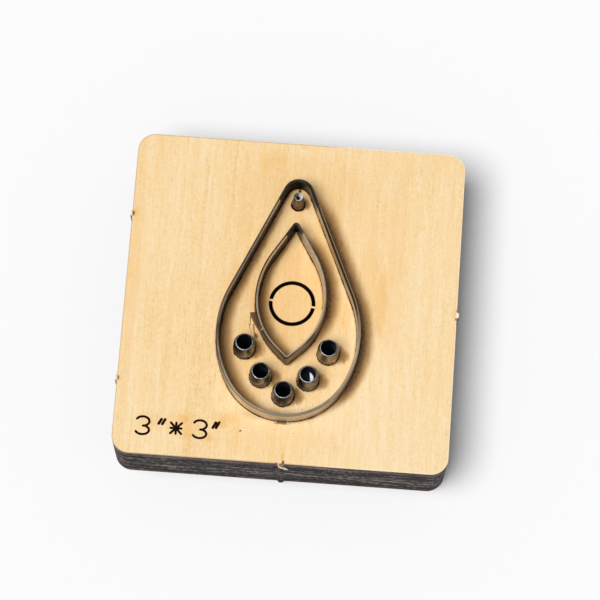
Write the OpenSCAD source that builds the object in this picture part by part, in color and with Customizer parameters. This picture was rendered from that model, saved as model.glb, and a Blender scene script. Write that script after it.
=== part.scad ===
// Steel rule die: two bent cutting rules, five tube punches and one hole punch set in a plywood board.
// The board stands on Z = 0 with the cutting edges up.
// X runs across the teardrop, Y along it to its narrow end.

/* [Board] */
// Side of the square plywood board
board_w = 76.2; // [72:0.1:120]
// Thickness of the plywood
board_t = 18; // [14:0.5:19]
// Radius of the upright corners
corner_r = 4; // [1:0.1:10]

/* [Break-off stubs] */
// Width of a stub at the board's edge, where a holding tab snapped off
stub_w = 1.6; // [0.8:0.1:3]
// Distance that a stub stands out from the edge
stub_out = 0.45; // [0.1:0.05:1]
// Places of the stubs along the left edge, from its middle
left_stubs = [18.4, -20.8]; // [-30:0.1:30]
// Place of the stub along the right edge, from its middle
right_stub = -0.5; // [-30:0.1:30]
// Place of the stub along the back edge, from its middle
back_stub = 0.3; // [-30:0.1:30]
// Place of the stub along the front edge, from its middle
front_stub = 0.5; // [-30:0.1:30]

/* [Steel rule] */
// Thickness of the rule
rule_t = 0.71; // [0.5:0.01:1.1]
// Height of the rule from its foot to its cutting edge
rule_h = 23.8; // [22:0.1:30]
// Height of the ground bevels below the cutting edge
bevel_h = 0.75; // [0.3:0.05:1.5]
// Width of the land along the cutting edge
edge_land = 0.06; // [0.02:0.01:0.2]
// Gap where the two ends of a bent rule butt
butt_gap = 0.08; // [0.03:0.01:0.3]
// Clearance between a rule or a punch and its cut in the board, each side
slot_clear = 0.04; // [0.02:0.01:0.1]

/* [Bridges] */
// Length of an uncut bridge of board across a slot
bridge_w = 5; // [3:0.1:8]
// Clearance of a rule's notch around its bridge
notch_clear = 0.25; // [0.1:0.05:0.6]

/* [Outer rule] */
// Length of the teardrop over the rule
teardrop_len = 56.3; // [51:0.1:68]
// Width of the teardrop over the rule
teardrop_w = 32.8; // [29:0.1:42]
// Radius of the narrow end over the rule
teardrop_top_r = 3.6; // [3:0.1:6]
// Radius of the bulging sides over the rule
teardrop_side_r = 24; // [21:0.5:40]
// Angle below the widest level at which a side gives way to the round bottom
teardrop_join = 30; // [20:1:40]
// Distance of the teardrop's middle from the board's middle
teardrop_shift = -0.25; // [-4:0.05:4]
// Distance along the right flank, from its upper end, at which the ends of the outer rule butt
teardrop_butt = 8.8; // [2:0.1:9]

/* [Inner rule] */
// Width of the pointed oval over the rule
oval_w = 16.3; // [13:0.1:19]
// Length of the pointed oval above its widest level
oval_upper_len = 18.1; // [15:0.1:20.5]
// Length of the pointed oval below its widest level
oval_lower_len = 14.3; // [12:0.1:16]
// Angle between a flank and the axis at the upper point
oval_upper_angle = 31.7; // [27:0.1:37]
// Angle between a flank and the axis at the lower point
oval_lower_angle = 47; // [42:0.5:52]
// Inside radius of the two sharp bends
oval_bend_r = 0.14; // [0.12:0.01:0.5]
// Level of the widest part from the board's middle
oval_wide_y = -0.7; // [-3:0.1:2]
// Angle below the widest level at which the lower bridges cross the inner rule
oval_bridge_angle = 11; // [9:0.5:14]
// Angle below the widest level at which the ends of the inner rule butt
oval_butt_angle = 31; // [26:1:40]

/* [Tube punches] */
// Outside diameter of a tube punch
punch_d = 5.2; // [3.6:0.05:5.4]
// Diameter of the cutting bore
punch_bore = 3.75; // [2:0.05:4]
// Depth of the cutting bore, below which the bore widens
punch_bore_depth = 8; // [3:0.5:14]
// Widening of the bore below its cutting length
punch_relief = 0.4; // [0.1:0.05:0.8]
// Height of the taper below the rim
punch_taper_h = 1.8; // [0.8:0.1:4]
// Height of the honed lip around the bore
punch_lip_h = 0.35; // [0.1:0.05:0.7]
// Width of the honed lip
punch_lip_w = 0.3; // [0.1:0.05:0.45]
// Offset of the punch row from the long axis
punch_shift = -0.2; // [-0.6:0.05:0.6]
// Height of the side punches above the oval's lower point
side_punch_rise = 3.1; // [0:0.1:5]
// Distance of the low punches from the oval's lower point
low_punch_reach = 6.35; // [5:0.05:7]
// Slope of the line from the oval's lower point to a low punch
low_punch_angle = 31.8; // [25:0.1:36]
// Board left between the end punch and the outer rule
end_punch_web = 2.75; // [1:0.05:4]

/* [Hole punch] */
// Outside diameter of the hole punch
hole_punch_d = 3.2; // [2.4:0.05:3.6]
// Diameter of its cutting rim
hole_punch_rim = 1.9; // [1.6:0.05:2.2]
// Diameter of its bore
hole_punch_bore = 1.3; // [0.8:0.05:1.4]
// Height of its straight body above the board
hole_punch_collar = 0.8; // [0.2:0.1:1.5]
// Board left between the hole punch and the outer rule
hole_punch_web = 2.2; // [0.8:0.05:2.6]

/* [Kerf circle] */
// Diameter of the circle along the middle of its kerf
ring_d = 9.8; // [6:0.1:11]
// Width of the kerf
ring_kerf = 0.75; // [0.3:0.05:1.2]
// Length of the two uncut bridges in the circle
ring_bridge = 0.45; // [0.3:0.05:2]
// Turn of the line through the bridges
ring_turn = -6; // [-90:1:90]
// Place of the circle from the board's middle
ring_at = [0.3, -0.5]; // [-2:0.1:2]

/* [Hidden] */
$fn = 180;
// Distance that a cut runs past the face it opens
cut_past = 1;
// Extra thickness on each face, and extra height, of every other stretch of a sweep
swell = 0.002;
// Length that the ends of the stretches between run into those, so that a bent rule is one solid
lap = 0.03;
// Depth of a stub's root inside the board
stub_root = 0.5;

// Teardrop: arcs on the outer face of the rule, tangent to one another
top_y = teardrop_shift + teardrop_len / 2;
bottom_y = teardrop_shift - teardrop_len / 2;
top_arc_y = top_y - teardrop_top_r;
side_x = teardrop_w / 2 - teardrop_side_r;
bottom_r = teardrop_side_r + side_x / cos(teardrop_join);
bottom_arc_y = bottom_y + bottom_r;
side_y = bottom_arc_y - side_x * tan(teardrop_join);
flank_angle = atan2(side_y - top_arc_y, side_x)
    + acos((teardrop_top_r - teardrop_side_r) / norm([side_x, side_y - top_arc_y]));
flank_start = on_arc([0, top_arc_y], teardrop_top_r, flank_angle);
flank_end = on_arc([side_x, side_y], teardrop_side_r, flank_angle);

// Pointed oval: each arc meets the widest level squarely and its flank tangentially
bend_r = oval_bend_r + rule_t;
upper_bend_y = oval_wide_y + oval_upper_len - bend_r;
lower_bend_y = oval_wide_y - oval_lower_len + bend_r;
oval_tip_y = lower_bend_y - bend_r;
upper_r = flank_arc_r(oval_upper_angle, oval_upper_len - bend_r);
lower_r = flank_arc_r(oval_lower_angle, oval_lower_len - bend_r);
upper_arc = [oval_w / 2 - upper_r, oval_wide_y];
lower_arc = [oval_w / 2 - lower_r, oval_wide_y];
upper_start = on_arc([0, upper_bend_y], bend_r, oval_upper_angle);
upper_end = on_arc(upper_arc, upper_r, oval_upper_angle);
lower_start = on_arc(lower_arc, lower_r, -oval_lower_angle);
lower_end = on_arc([0, lower_bend_y], bend_r, -oval_lower_angle);

// Bridges: a point on the rule's outer face and the direction that the face looks in
outer_bridges = concat(
    on_both_sides([(flank_start + flank_end) / 2, flank_angle]),
    [[[0, bottom_y], -90]]
);
inner_bridges = concat(
    on_both_sides([(upper_start + upper_end) / 2, oval_upper_angle]),
    on_both_sides([on_arc(lower_arc, lower_r, -oval_bridge_angle), -oval_bridge_angle])
);
outer_butt = [flank_start + teardrop_butt * [sin(flank_angle), -cos(flank_angle)], flank_angle];
inner_butt_angle = 180 + oval_butt_angle;
inner_butt = [on_arc([-lower_arc[0], lower_arc[1]], lower_r, inner_butt_angle), inner_butt_angle];

// Punches: the side pair stands midway between the rules, the end one close to the outer rule
side_punch_y = oval_tip_y + side_punch_rise;
side_punch_x = (half_width([side_x, side_y], teardrop_side_r - rule_t, side_punch_y)
    + half_width(lower_arc, lower_r, side_punch_y)) / 2;
low_punch = [low_punch_reach * cos(low_punch_angle), oval_tip_y - low_punch_reach * sin(low_punch_angle)];
end_punch_y = bottom_y + rule_t + end_punch_web + punch_d / 2;
punch_places = [
    [punch_shift - side_punch_x, side_punch_y],
    [punch_shift - low_punch[0], low_punch[1]],
    [punch_shift, end_punch_y],
    [punch_shift + low_punch[0], low_punch[1]],
    [punch_shift + side_punch_x, side_punch_y]
];
hole_punch_y = top_y - rule_t - hole_punch_web - hole_punch_d / 2;

// A place on the right side, and its mirror image across the long axis
function on_both_sides(place) = [place, [[-place[0][0], place[0][1]], 180 - place[1]]];

// Point on a circle at an angle
function on_arc(centre, r, angle) = centre + r * [cos(angle), sin(angle)];

// Radius of the arc between the oval's widest level and a flank at an angle to the axis,
// where the sharp bend is centred on the axis at a distance from that level
function flank_arc_r(angle, distance) =
    (distance * sin(angle) + bend_r - oval_w / 2 * cos(angle)) / (1 - cos(angle));

// Half the width that an arc bounds at a level
function half_width(centre, r, level) = centre[0] + sqrt(r * r - (level - centre[1]) ^ 2);

// A stretch of a sweep that is swollen, and ends where it should
module swollen() {
    $swell = swell;
    $lap = 0;
    children();
}

// A stretch of a sweep between two swollen ones, which laps into both
module lapped() {
    $swell = 0;
    $lap = lap;
    children();
}

// Carries a section round an arc, with its X = 0 at the radius
module arc_run(centre, r, from, to) {
    past = $lap / r * 180 / PI;
    translate(centre) rotate(from - past) rotate_extrude(angle = to - from + 2 * past)
        translate([r, 0]) children();
}

// Carries a section straight from one point to another, with its X = 0 on the line, facing an angle
module straight_run(start, end, facing) {
    translate(start) rotate([90, 0, facing]) translate([0, 0, -$lap])
        linear_extrude(norm(end - start) + 2 * $lap) children();
}

// Repeats a half across the long axis
module both_sides() {
    children();
    mirror([1, 0, 0]) children();
}

// Sweeps a section along the teardrop
module teardrop_path() {
    lapped() arc_run([0, top_arc_y], teardrop_top_r, flank_angle, 180 - flank_angle) children();
    both_sides() {
        swollen() straight_run(flank_start, flank_end, flank_angle) children();
        lapped() arc_run([side_x, side_y], teardrop_side_r, -teardrop_join, flank_angle) children();
    }
    swollen() arc_run([0, bottom_arc_y], bottom_r, teardrop_join - 180, -teardrop_join) children();
}

// Sweeps a section along the pointed oval
module oval_path() {
    lapped() arc_run([0, upper_bend_y], bend_r, oval_upper_angle, 180 - oval_upper_angle) children();
    both_sides() {
        swollen() straight_run(upper_start, upper_end, oval_upper_angle) children();
        lapped() arc_run(upper_arc, upper_r, 0, oval_upper_angle) children();
        swollen() arc_run(lower_arc, lower_r, -oval_lower_angle, 0) children();
        lapped() straight_run(lower_start, lower_end, -oval_lower_angle) children();
    }
    swollen() arc_run([0, lower_bend_y], bend_r, oval_lower_angle - 180, -oval_lower_angle) children();
}

// Upright section of the rule, with its outer face on X = 0 and a bevel each side of the cutting edge
module rule_section() {
    face = rule_t / 2 + $swell;
    land = edge_land / 2 + $swell;
    top = rule_h - swell + $swell;
    translate([-rule_t / 2, 0]) polygon([
        [-face, 0],
        [face, 0],
        [face, rule_h - bevel_h],
        [land, top],
        [-land, top],
        [-face, rule_h - bevel_h]
    ]);
}

// Section of the slot that takes the rule
module slot_section() {
    past = slot_clear + $swell;
    translate([-rule_t - past, -cut_past]) square([rule_t + 2 * past, board_t + 2 * cut_past]);
}

// Block across a rule at a place, past both faces of the rule, from below the board up to a height
module block_across(place, length, height) {
    past = rule_t;
    translate([place[0][0], place[0][1], -cut_past]) rotate(place[1])
        translate([-rule_t - past, -length / 2, 0])
            cube([rule_t + 2 * past, length, height + cut_past]);
}

// Slot for a rule, left uncut at its bridges
module bridged_slot(bridges) {
    difference() {
        children();
        for (place = bridges) block_across(place, bridge_w, board_t + cut_past);
    }
}

// Rule with notches over its bridges and a gap where its ends butt
module notched_rule(bridges, butt) {
    difference() {
        children();
        for (place = bridges) block_across(place, bridge_w + 2 * notch_clear, board_t + notch_clear);
        block_across(butt, butt_gap, rule_h + cut_past);
    }
}

// Plan of the board: a square with rounded corners
module board_plan() {
    straight = board_w - 2 * corner_r;
    square([board_w, straight], center = true);
    square([straight, board_w], center = true);
    for (x = [-1, 1], y = [-1, 1]) translate([x, y] * straight / 2) circle(corner_r);
}

// Plan of a stub that stands out along +X from the board's edge, tapered to half where the tab snapped
module stub_plan(along) {
    root = stub_w / 2;
    tip = root / 2;
    translate([board_w / 2, along]) polygon([
        [-stub_root, -root],
        [0, -root],
        [stub_out, -tip],
        [stub_out, tip],
        [0, root],
        [-stub_root, root]
    ]);
}

// Laser kerf of the circle, with its two bridges left
module ring_kerf_cut() {
    translate([ring_at[0], ring_at[1], -cut_past]) difference() {
        linear_extrude(board_t + 2 * cut_past) difference() {
            circle(d = ring_d + ring_kerf);
            circle(d = ring_d - ring_kerf);
        }
        rotate(ring_turn) translate([-ring_d, -ring_bridge / 2, 0])
            cube([2 * ring_d, ring_bridge, board_t + 2 * cut_past]);
    }
}

// Drilled seat of a punch
module punch_seat(place, d) {
    translate([place[0], place[1], -cut_past]) cylinder(d = d + 2 * slot_clear, h = board_t + 2 * cut_past);
}

module die_board() {
    color("burlywood") difference() {
        linear_extrude(board_t) {
            board_plan();
            stub_plan(right_stub);
            rotate(90) stub_plan(-back_stub);
            for (along = left_stubs) rotate(180) stub_plan(-along);
            rotate(-90) stub_plan(front_stub);
        }
        bridged_slot(outer_bridges) teardrop_path() slot_section();
        bridged_slot(inner_bridges) oval_path() slot_section();
        for (place = punch_places) punch_seat(place, punch_d);
        punch_seat([0, hole_punch_y], hole_punch_d);
        ring_kerf_cut();
    }
}

module outer_rule() {
    color("dimgray") notched_rule(outer_bridges, outer_butt) teardrop_path() rule_section();
}

module inner_rule() {
    color("dimgray") notched_rule(inner_bridges, inner_butt) oval_path() rule_section();
}

// Tube with a tapered end, a honed lip round its cutting bore and a wider bore below it
module tube_punch(number) {
    bore_r = punch_bore / 2;
    back_r = bore_r + punch_relief / 2;
    bore_z = rule_h - punch_bore_depth;
    color("slategray") translate(punch_places[number - 1]) rotate_extrude() polygon([
        [back_r, 0],
        [punch_d / 2, 0],
        [punch_d / 2, rule_h - punch_taper_h],
        [bore_r + punch_lip_w, rule_h - punch_lip_h],
        [bore_r + edge_land, rule_h],
        [bore_r, rule_h],
        [bore_r, bore_z],
        [back_r, bore_z - punch_relief]
    ]);
}

// Small tube that tapers from a collar above the board to its cutting rim
module hole_punch() {
    bore_r = hole_punch_bore / 2;
    color("gray") translate([0, hole_punch_y]) rotate_extrude() polygon([
        [bore_r, 0],
        [hole_punch_d / 2, 0],
        [hole_punch_d / 2, board_t + hole_punch_collar],
        [hole_punch_rim / 2, rule_h - bevel_h],
        [bore_r + edge_land, rule_h],
        [bore_r, rule_h]
    ]);
}

die_board();
outer_rule();
inner_rule();
tube_punch(1);  // tube_punch_1
tube_punch(2);  // tube_punch_2
tube_punch(3);  // tube_punch_3
tube_punch(4);  // tube_punch_4
tube_punch(5);  // tube_punch_5
hole_punch();
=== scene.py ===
"""Looks of the steel rule die: birch plywood with charred edges, bent rules, turned punches and burnt marks.

Lengths are millimetres in the part's own frame, and metres once a mesh or a material takes them.
"""

import math

import bmesh
import bpy
import numpy as np
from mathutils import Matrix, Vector


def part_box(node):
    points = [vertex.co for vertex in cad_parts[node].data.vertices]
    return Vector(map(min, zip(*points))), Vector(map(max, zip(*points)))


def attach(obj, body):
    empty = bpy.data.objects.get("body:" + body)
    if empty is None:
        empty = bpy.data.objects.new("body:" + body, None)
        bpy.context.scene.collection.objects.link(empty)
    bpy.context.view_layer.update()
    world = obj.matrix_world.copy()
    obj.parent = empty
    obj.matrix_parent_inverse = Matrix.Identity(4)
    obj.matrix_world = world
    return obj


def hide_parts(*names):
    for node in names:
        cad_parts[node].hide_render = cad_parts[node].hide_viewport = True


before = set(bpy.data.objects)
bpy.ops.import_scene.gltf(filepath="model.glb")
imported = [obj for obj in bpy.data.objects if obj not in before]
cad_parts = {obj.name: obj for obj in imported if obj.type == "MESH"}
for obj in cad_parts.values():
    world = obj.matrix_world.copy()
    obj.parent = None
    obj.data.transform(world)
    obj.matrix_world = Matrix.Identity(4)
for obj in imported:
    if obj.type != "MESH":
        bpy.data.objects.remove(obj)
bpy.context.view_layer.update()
MM = 0.001
rng = np.random.default_rng(11)


def node_span(node):
    """Lowest and highest corner of a solid, in millimetres."""
    low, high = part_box(node)
    return np.array(low) / MM, np.array(high) / MM


def upright(node):
    """Middle and radius of a round upright solid, seen from above."""
    low, high = node_span(node)
    return (low + high)[:2] / 2, (high[0] - low[0]) / 2


def ramp(values, start, end):
    """A straight line from 0 at one value to 1 at another, held at its ends."""
    return np.clip((values - start) / (end - start), 0.0, 1.0)


def angles_round(count):
    """Even angles round a full turn."""
    return np.linspace(0.0, 2 * math.pi, count + 1)[:-1]


def unit(vectors):
    """Vectors brought to a length of 1, one to a row."""
    return vectors / np.linalg.norm(vectors, axis=-1, keepdims=True)


def run_lengths(points):
    """Distance along a line of points to each of them."""
    return np.r_[0.0, np.cumsum(np.linalg.norm(np.diff(points, axis=0), axis=1))]


def read_off(where, lengths, rows):
    """Rows of numbers at distances along a line, straight between its points."""
    return np.stack([np.interp(where, lengths, column) for column in rows.T], axis=1)


# Sizes read from the solids
BOARD_LOW, BOARD_HIGH = node_span("die_board")
TEARDROP_LOW, TEARDROP_HIGH = node_span("outer_rule")
OVAL_LOW, OVAL_HIGH = node_span("inner_rule")
BOARD_TOP = BOARD_HIGH[2]
RULE_TOP = TEARDROP_HIGH[2]
TUBES = [f"tube_punch_{number}" for number in range(1, 6)]
PUNCHES = TUBES + ["hole_punch"]

# Even steps along an outline, a lip, a skin and a stroke, and parts of a turn round a punch and a seat
STEP = 0.25
LIP_STEP = 0.15
SKIN_STEP = 0.2
STROKE_STEP = 0.12
PUNCH_PARTS = 128
SEAT_PARTS = 96

# Board: half its square side and the radius of its corners
BOARD_HALF = 38.1
CORNER_R = 4.0

# Steel rule: thickness, bevel, land of the edge, gap at the butt, notch over a bridge, fade of temper
RULE_T = 0.71
BEVEL_H = 0.75
EDGE_LAND = 0.16
BUTT_GAP = 0.08
NOTCH_HALF = 2.75
NOTCH_TOP = BOARD_TOP + 0.25
NOTCH_LEAN = 0.01
TEMPER_FADE = 0.35

# Teardrop: radii of its narrow end and sides, angle where a side meets the bottom, butt, blued stretch
TEARDROP_TOP_R = 3.6
TEARDROP_SIDE_R = 24.0
TEARDROP_JOIN = 30.0
TEARDROP_BUTT = 8.8
TEARDROP_TEMPER = (-7.75, 8.75)

# Pointed oval: level of its waist, angles at its points, radius of bends, bridges, butt, blued stretch
OVAL_WIDE_Y = -0.7
OVAL_UPPER_ANGLE = 31.7
OVAL_LOWER_ANGLE = 47.0
OVAL_BEND_R = 0.85
OVAL_BRIDGE_ANGLE = 11.0
OVAL_BUTT_ANGLE = 31.0
OVAL_TEMPER = (-4.3, 3.5)

# Tube punches: bore, taper, lip, waist, neck between two rises over the board, start of the bore's wall
TUBE_BORE_R = 1.875
TUBE_BACK_R = 2.075
TUBE_BORE_DEPTH = 8.0
TUBE_RELIEF = 0.4
TUBE_TAPER_H = 1.8
TUBE_LIP_H = 0.35
TUBE_LIP_R = 2.06
TUBE_MOUTH_R = 1.80
TUBE_WAIST = 0.955
TUBE_NECK = (0.15, 0.5)
TUBE_WALL_START = 0.7
WALL_RINGS = 24

# Hole punch: rim, bore, countersink from one depth to another, waist, neck and collar
HOLE_RIM_R = 1.12
HOLE_CREST_R = 0.98
HOLE_BORE_R = 0.45
HOLE_SINK = (0.05, 1.0)
HOLE_WALL_START = 1.3
HOLE_WAIST = 0.92
HOLE_NECK = (0.1, 0.35)
HOLE_COLLAR = 0.8

# Painted highlights on the hole punch's tip, whose rest takes a painted shade, and where the key light falls
# into three bores: side and spread in degrees, top and bottom under the rim, strength
HIGHLIGHT_FADE = 0.8
HOLE_HIGHLIGHT = (-35.0, 150.0, -0.8, 2.4, 1.0)
BORE_HIGHLIGHTS = {
    "tube_punch_2": (70.0, 60.0, 3.0, 9.0, 0.04),
    "tube_punch_3": (95.0, 70.0, 1.5, 4.0, 0.03),
    "tube_punch_5": (20.0, 60.0, 2.0, 7.0, 0.06),
}

# Slug left in a tube: its depth under the rim, thickness, clearance in the bore and crown
SLUG_DEPTH = 3.0
SLUG_T = 0.5
SLUG_CLEAR = 0.03
SLUG_CROWN = 0.10

# Burnt lips of a slot and a seat: tuck under the steel, least and most width, waves, section's levels
LIP_SHOULDER = 0.6
SLOT_LIP = (0.02, (0.05, 0.34), 150, (-0.06, 0.035, 0.02, -0.06))
SEAT_LIP = (0.03, (0.05, 0.26), 20, (-0.06, 0.04, 0.02, -0.06))

# Skins of scorch with painted shade on their +X side: places across one, lift over the face, depth, strength
# with its shade gain along X, and fall-off
SKIN_REACHES = np.array([0.0, 0.07, 0.15, 0.24, 0.34, 0.45, 0.58, 0.75, 1.0])
SLOT_SKIN_LIFTS = (0.008, 0.010)
SEAT_SKIN_LIFT = 0.012
SEAT_SKIN_SHARE = 0.7
SKIN_DEPTH = 0.05
SLOT_SCORCH_AND_SHADE = (0.42, 0.40)
SEAT_SCORCH_AND_SHADE = (0.25, 0.40)
SCORCH_AND_SHADE_REACH = (0.35, 0.30)
SCORCH_AND_SHADE_POWER = 1.4
SCORCH_AND_SHADE_WAVER = (0.75, 1.25)
SCORCH_AND_SHADE_WAVES = 60

# Painted shadow cast to the +X side of each wall: full up to one distance, and for the right and the
# left wall of the teardrop and of the oval its strength, the distances where it is gone at the front end and
# at the back end, and the share of the wall over which it comes up from nothing at the front
SHADOW_FULL = 0.35
WALL_SHADOWS = (
    ((0.72, 3.6, 6.0, 0.16), (0.62, 6.2, 1.0, 0.03)),
    ((0.72, 2.4, 6.4, 0.40), (0.62, 6.0, 1.0, 0.03)),
)
SHADOW_START = 0.01
SHADOW_TOP = (1.0, 0.84)
SHADOW_UNDER = 0.3
SHADOW_RAGGED = 0.55
COURSE_POINTS = 25
# Painted shadow by a punch: its place past the middle and its reach along Y in shares of the radius, and its
# strength
PUNCH_SHADOW = (0.85, 0.85, 0.55)

# Kerf circle: middle, radius of the cut's centre line, width of the cut, turn of its two bridges, how far the
# burn reaches past the cut and how raggedly, and where it starts and is full beside a bridge
CIRCLE_AT = (0.3, -0.5)
CIRCLE_R = 4.9
CIRCLE_KERF = 0.75
CIRCLE_TURN = -6.0
CIRCLE_BURN = 0.17
CIRCLE_RAGGED = 0.07
CIRCLE_BRIDGE = (0.20, 0.34)

# Stubs of the holding tabs along the four edges, and how far out their fibres start
FRONT_STUB_X = 0.5
BACK_STUB_X = 0.3
LEFT_STUBS_Y = (18.4, -20.8)
RIGHT_STUB_Y = -0.5
STUB_EDGE = BOARD_HALF + 0.4

# Burnt size mark: places of the numerals, the star and the ticks (left, top, lean, height), and its strokes
NUMERALS = ((-32.88, -29.45), (-19.9, -29.42))
STAR_AT = np.array([-23.72, -31.65])
STAR_REACH = 1.5
TICKS = (
    (-27.98, -29.50, 0.84, 1.64),
    (-27.14, -29.50, 0.81, 1.68),
    (-15.70, -29.42, 0.86, 1.78),
    (-14.94, -29.32, 0.84, 1.86),
)
NUMERAL_STROKE = 0.60
TICK_STROKE = 0.70
STROKE_RISE = 0.03
STROKE_LIFT = 0.004

# Camera: place, turn and focal length that lay the solids over the photograph
CAMERA_AT = (8.357, -169.789, 614.247)
CAMERA_TURN = (15.939, -0.574, 4.132)
CAMERA_LENS = 162.436
CAMERA_SENSOR = 36.0

# Light: the way to the key light, its strength and width, and the fill from all round; the floor in metres
KEY_FROM = (-0.28, -0.21, 0.94)
KEY_STRENGTH = 2.78
KEY_WIDTH = 37.0
FILL_STRENGTH = 0.18
FILL_COLOUR = (0.97, 0.98, 1.0, 1.0)
FLOOR_COLOUR = (0.968, 0.966, 0.976, 1.0)
FLOOR_HALF = 3.0
FLOOR_LEVEL = -0.00002


# Node building

class Finish:
    """One material and the few kinds of node that its surface is made from."""

    def __init__(self, name):
        self.material = bpy.data.materials.new(name)
        self.material.use_nodes = True
        self.tree = self.material.node_tree
        self.shader = self.tree.nodes["Principled BSDF"]

    def put(self, socket, value):
        """Sets a socket to a value, or links it to another node's output."""
        if isinstance(value, bpy.types.NodeSocket):
            self.tree.links.new(value, socket)
        else:
            socket.default_value = value

    def node(self, kind, inputs=None, **settings):
        """A new node with its settings, and with values or links in its inputs."""
        made = self.tree.nodes.new(kind)
        for name, value in settings.items():
            setattr(made, name, value)
        for socket, value in (inputs or {}).items():
            self.put(made.inputs[socket], value)
        return made

    def place(self):
        """The point on the piece, in metres in the part's frame."""
        return self.node("ShaderNodeTexCoord").outputs["Object"]

    def attribute(self, name):
        """A value that the mesh carries at its points."""
        return self.node("ShaderNodeAttribute", attribute_name=name).outputs["Fac"]

    def split(self, vector):
        """The X, Y and Z of a vector."""
        return self.node("ShaderNodeSeparateXYZ", {0: vector}).outputs

    def join(self, x, y, z):
        """A vector from its X, Y and Z."""
        return self.node("ShaderNodeCombineXYZ", {0: x, 1: y, 2: z}).outputs[0]

    def length(self, vector):
        """The length of a vector."""
        return self.node("ShaderNodeVectorMath", {0: vector}, operation="LENGTH").outputs["Value"]

    def math(self, operation, *values, clamp=False):
        """One sum on numbers or outputs."""
        inputs = dict(enumerate(values))
        return self.node("ShaderNodeMath", inputs, operation=operation, use_clamp=clamp).outputs[0]

    def weigh(self, *pairs):
        """The sum of several values, each times its own weight."""
        total = 0.0
        for value, weight in pairs:
            total = self.math("MULTIPLY_ADD", value, weight, total)
        return total

    def stretch(self, vector, x, y, z, shift=(0.0, 0.0, 0.0)):
        """A vector measured in cells that are so many to the metre along each axis."""
        inputs = {"Vector": vector, "Scale": (x, y, z), "Location": shift}
        return self.node("ShaderNodeMapping", inputs).outputs[0]

    def noise(self, vector, detail=2.0, roughness=0.5, distortion=0.0):
        """Cloudy noise from 0 to 1 with one cloud to a cell."""
        looks = {"Scale": 1.0, "Detail": detail, "Roughness": roughness, "Distortion": distortion}
        return self.node("ShaderNodeTexNoise", {"Vector": vector, **looks}).outputs["Fac"]

    def grade(self, value, low, high, start=0.0, end=1.0):
        """A value carried smoothly from one range to another and held at its ends."""
        inputs = dict(enumerate((value, low, high, start, end)))
        return self.node("ShaderNodeMapRange", inputs, interpolation_type="SMOOTHSTEP").outputs["Result"]

    def colours(self, value, *stops):
        """A colour for each value, from pairs of a place and a colour."""
        made = self.node("ShaderNodeValToRGB")
        ramp_stops = made.color_ramp.elements
        while len(ramp_stops) < len(stops):
            ramp_stops.new(1.0)
        for element, (place, colour) in zip(ramp_stops, stops):
            element.position = place
            element.color = (*colour, 1.0)
        self.put(made.inputs[0], value)
        return made.outputs["Color"]

    def mix(self, share, first, second):
        """Two colours mixed by a share."""
        inputs = {0: share}
        for socket, colour in ((6, first), (7, second)):
            inputs[socket] = colour if isinstance(colour, bpy.types.NodeSocket) else (*colour, 1.0)
        return self.node("ShaderNodeMix", inputs, data_type="RGBA").outputs[2]

    def blend(self, share, first, second):
        """Two numbers mixed by a share."""
        return self.node("ShaderNodeMix", {0: share, 2: first, 3: second}, data_type="FLOAT").outputs[0]

    def relief(self, height, strength, depth):
        """A bump of a depth in millimetres for the shader's normal."""
        inputs = {"Strength": strength, "Distance": depth * MM, "Height": height}
        self.put(self.shader.inputs["Normal"], self.node("ShaderNodeBump", inputs).outputs[0])

    def surface(self, colour, roughness, metallic=0.0, specular=0.5, glance=1.0):
        """Sets the shader's main sockets and gives the material; glance dims what shows at a low angle."""
        self.put(self.shader.inputs["Base Color"], colour)
        self.put(self.shader.inputs["Roughness"], roughness)
        self.put(self.shader.inputs["Metallic"], metallic)
        dimmed = glance if isinstance(glance, bpy.types.NodeSocket) else (glance, glance, glance, 1.0)
        self.put(self.shader.inputs["Specular Tint"], dimmed)
        self.shader.inputs["Specular IOR Level"].default_value = specular
        return self.material


# Colours of the wood, as linear red, green and blue
VENEER_TONES = (
    (0.24, (0.66, 0.42, 0.18)),
    (0.40, (0.87, 0.605, 0.295)),
    (0.54, (0.945, 0.69, 0.375)),
    (0.74, (0.975, 0.775, 0.49)),
)
BLUSH_ORANGE = (0.93, 0.615, 0.235)
PORE_BROWN = (0.52, 0.30, 0.12)
TINT_ORANGE = (0.88, 0.455, 0.10)
# Colours towards which the skins' scorch and painted shade and the painted shadows darken the veneer
SCORCH_SHADE_BROWN = (0.50, 0.26, 0.085)
SCORCH_SHADE_BLACK = (0.030, 0.014, 0.008)
BURN_BROWN = (0.11, 0.045, 0.018)
BURN_BLACK = (0.030, 0.011, 0.006)
RIM_BROWN = (0.30, 0.16, 0.065)
RIM_CREAM = (1.0, 0.92, 0.72)
CHAR_TONES = (
    (0.42, (0.004, 0.003, 0.003)),
    (0.475, (0.015, 0.012, 0.011)),
    (0.52, (0.060, 0.049, 0.044)),
    (0.59, (0.300, 0.253, 0.228)),
)
UPPER_PLY_TONES = (
    (0.42, (0.045, 0.030, 0.028)),
    (0.58, (0.270, 0.195, 0.175)),
)
VOID_BLACK = (0.003, 0.003, 0.003)
TORN_CREAM = (0.88, 0.80, 0.58)
LIP_BROWN = (0.22, 0.120, 0.055)
FOOT_BROWN = (0.20, 0.105, 0.070)
KERF_BLACK = (0.005, 0.003, 0.002)

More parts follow.
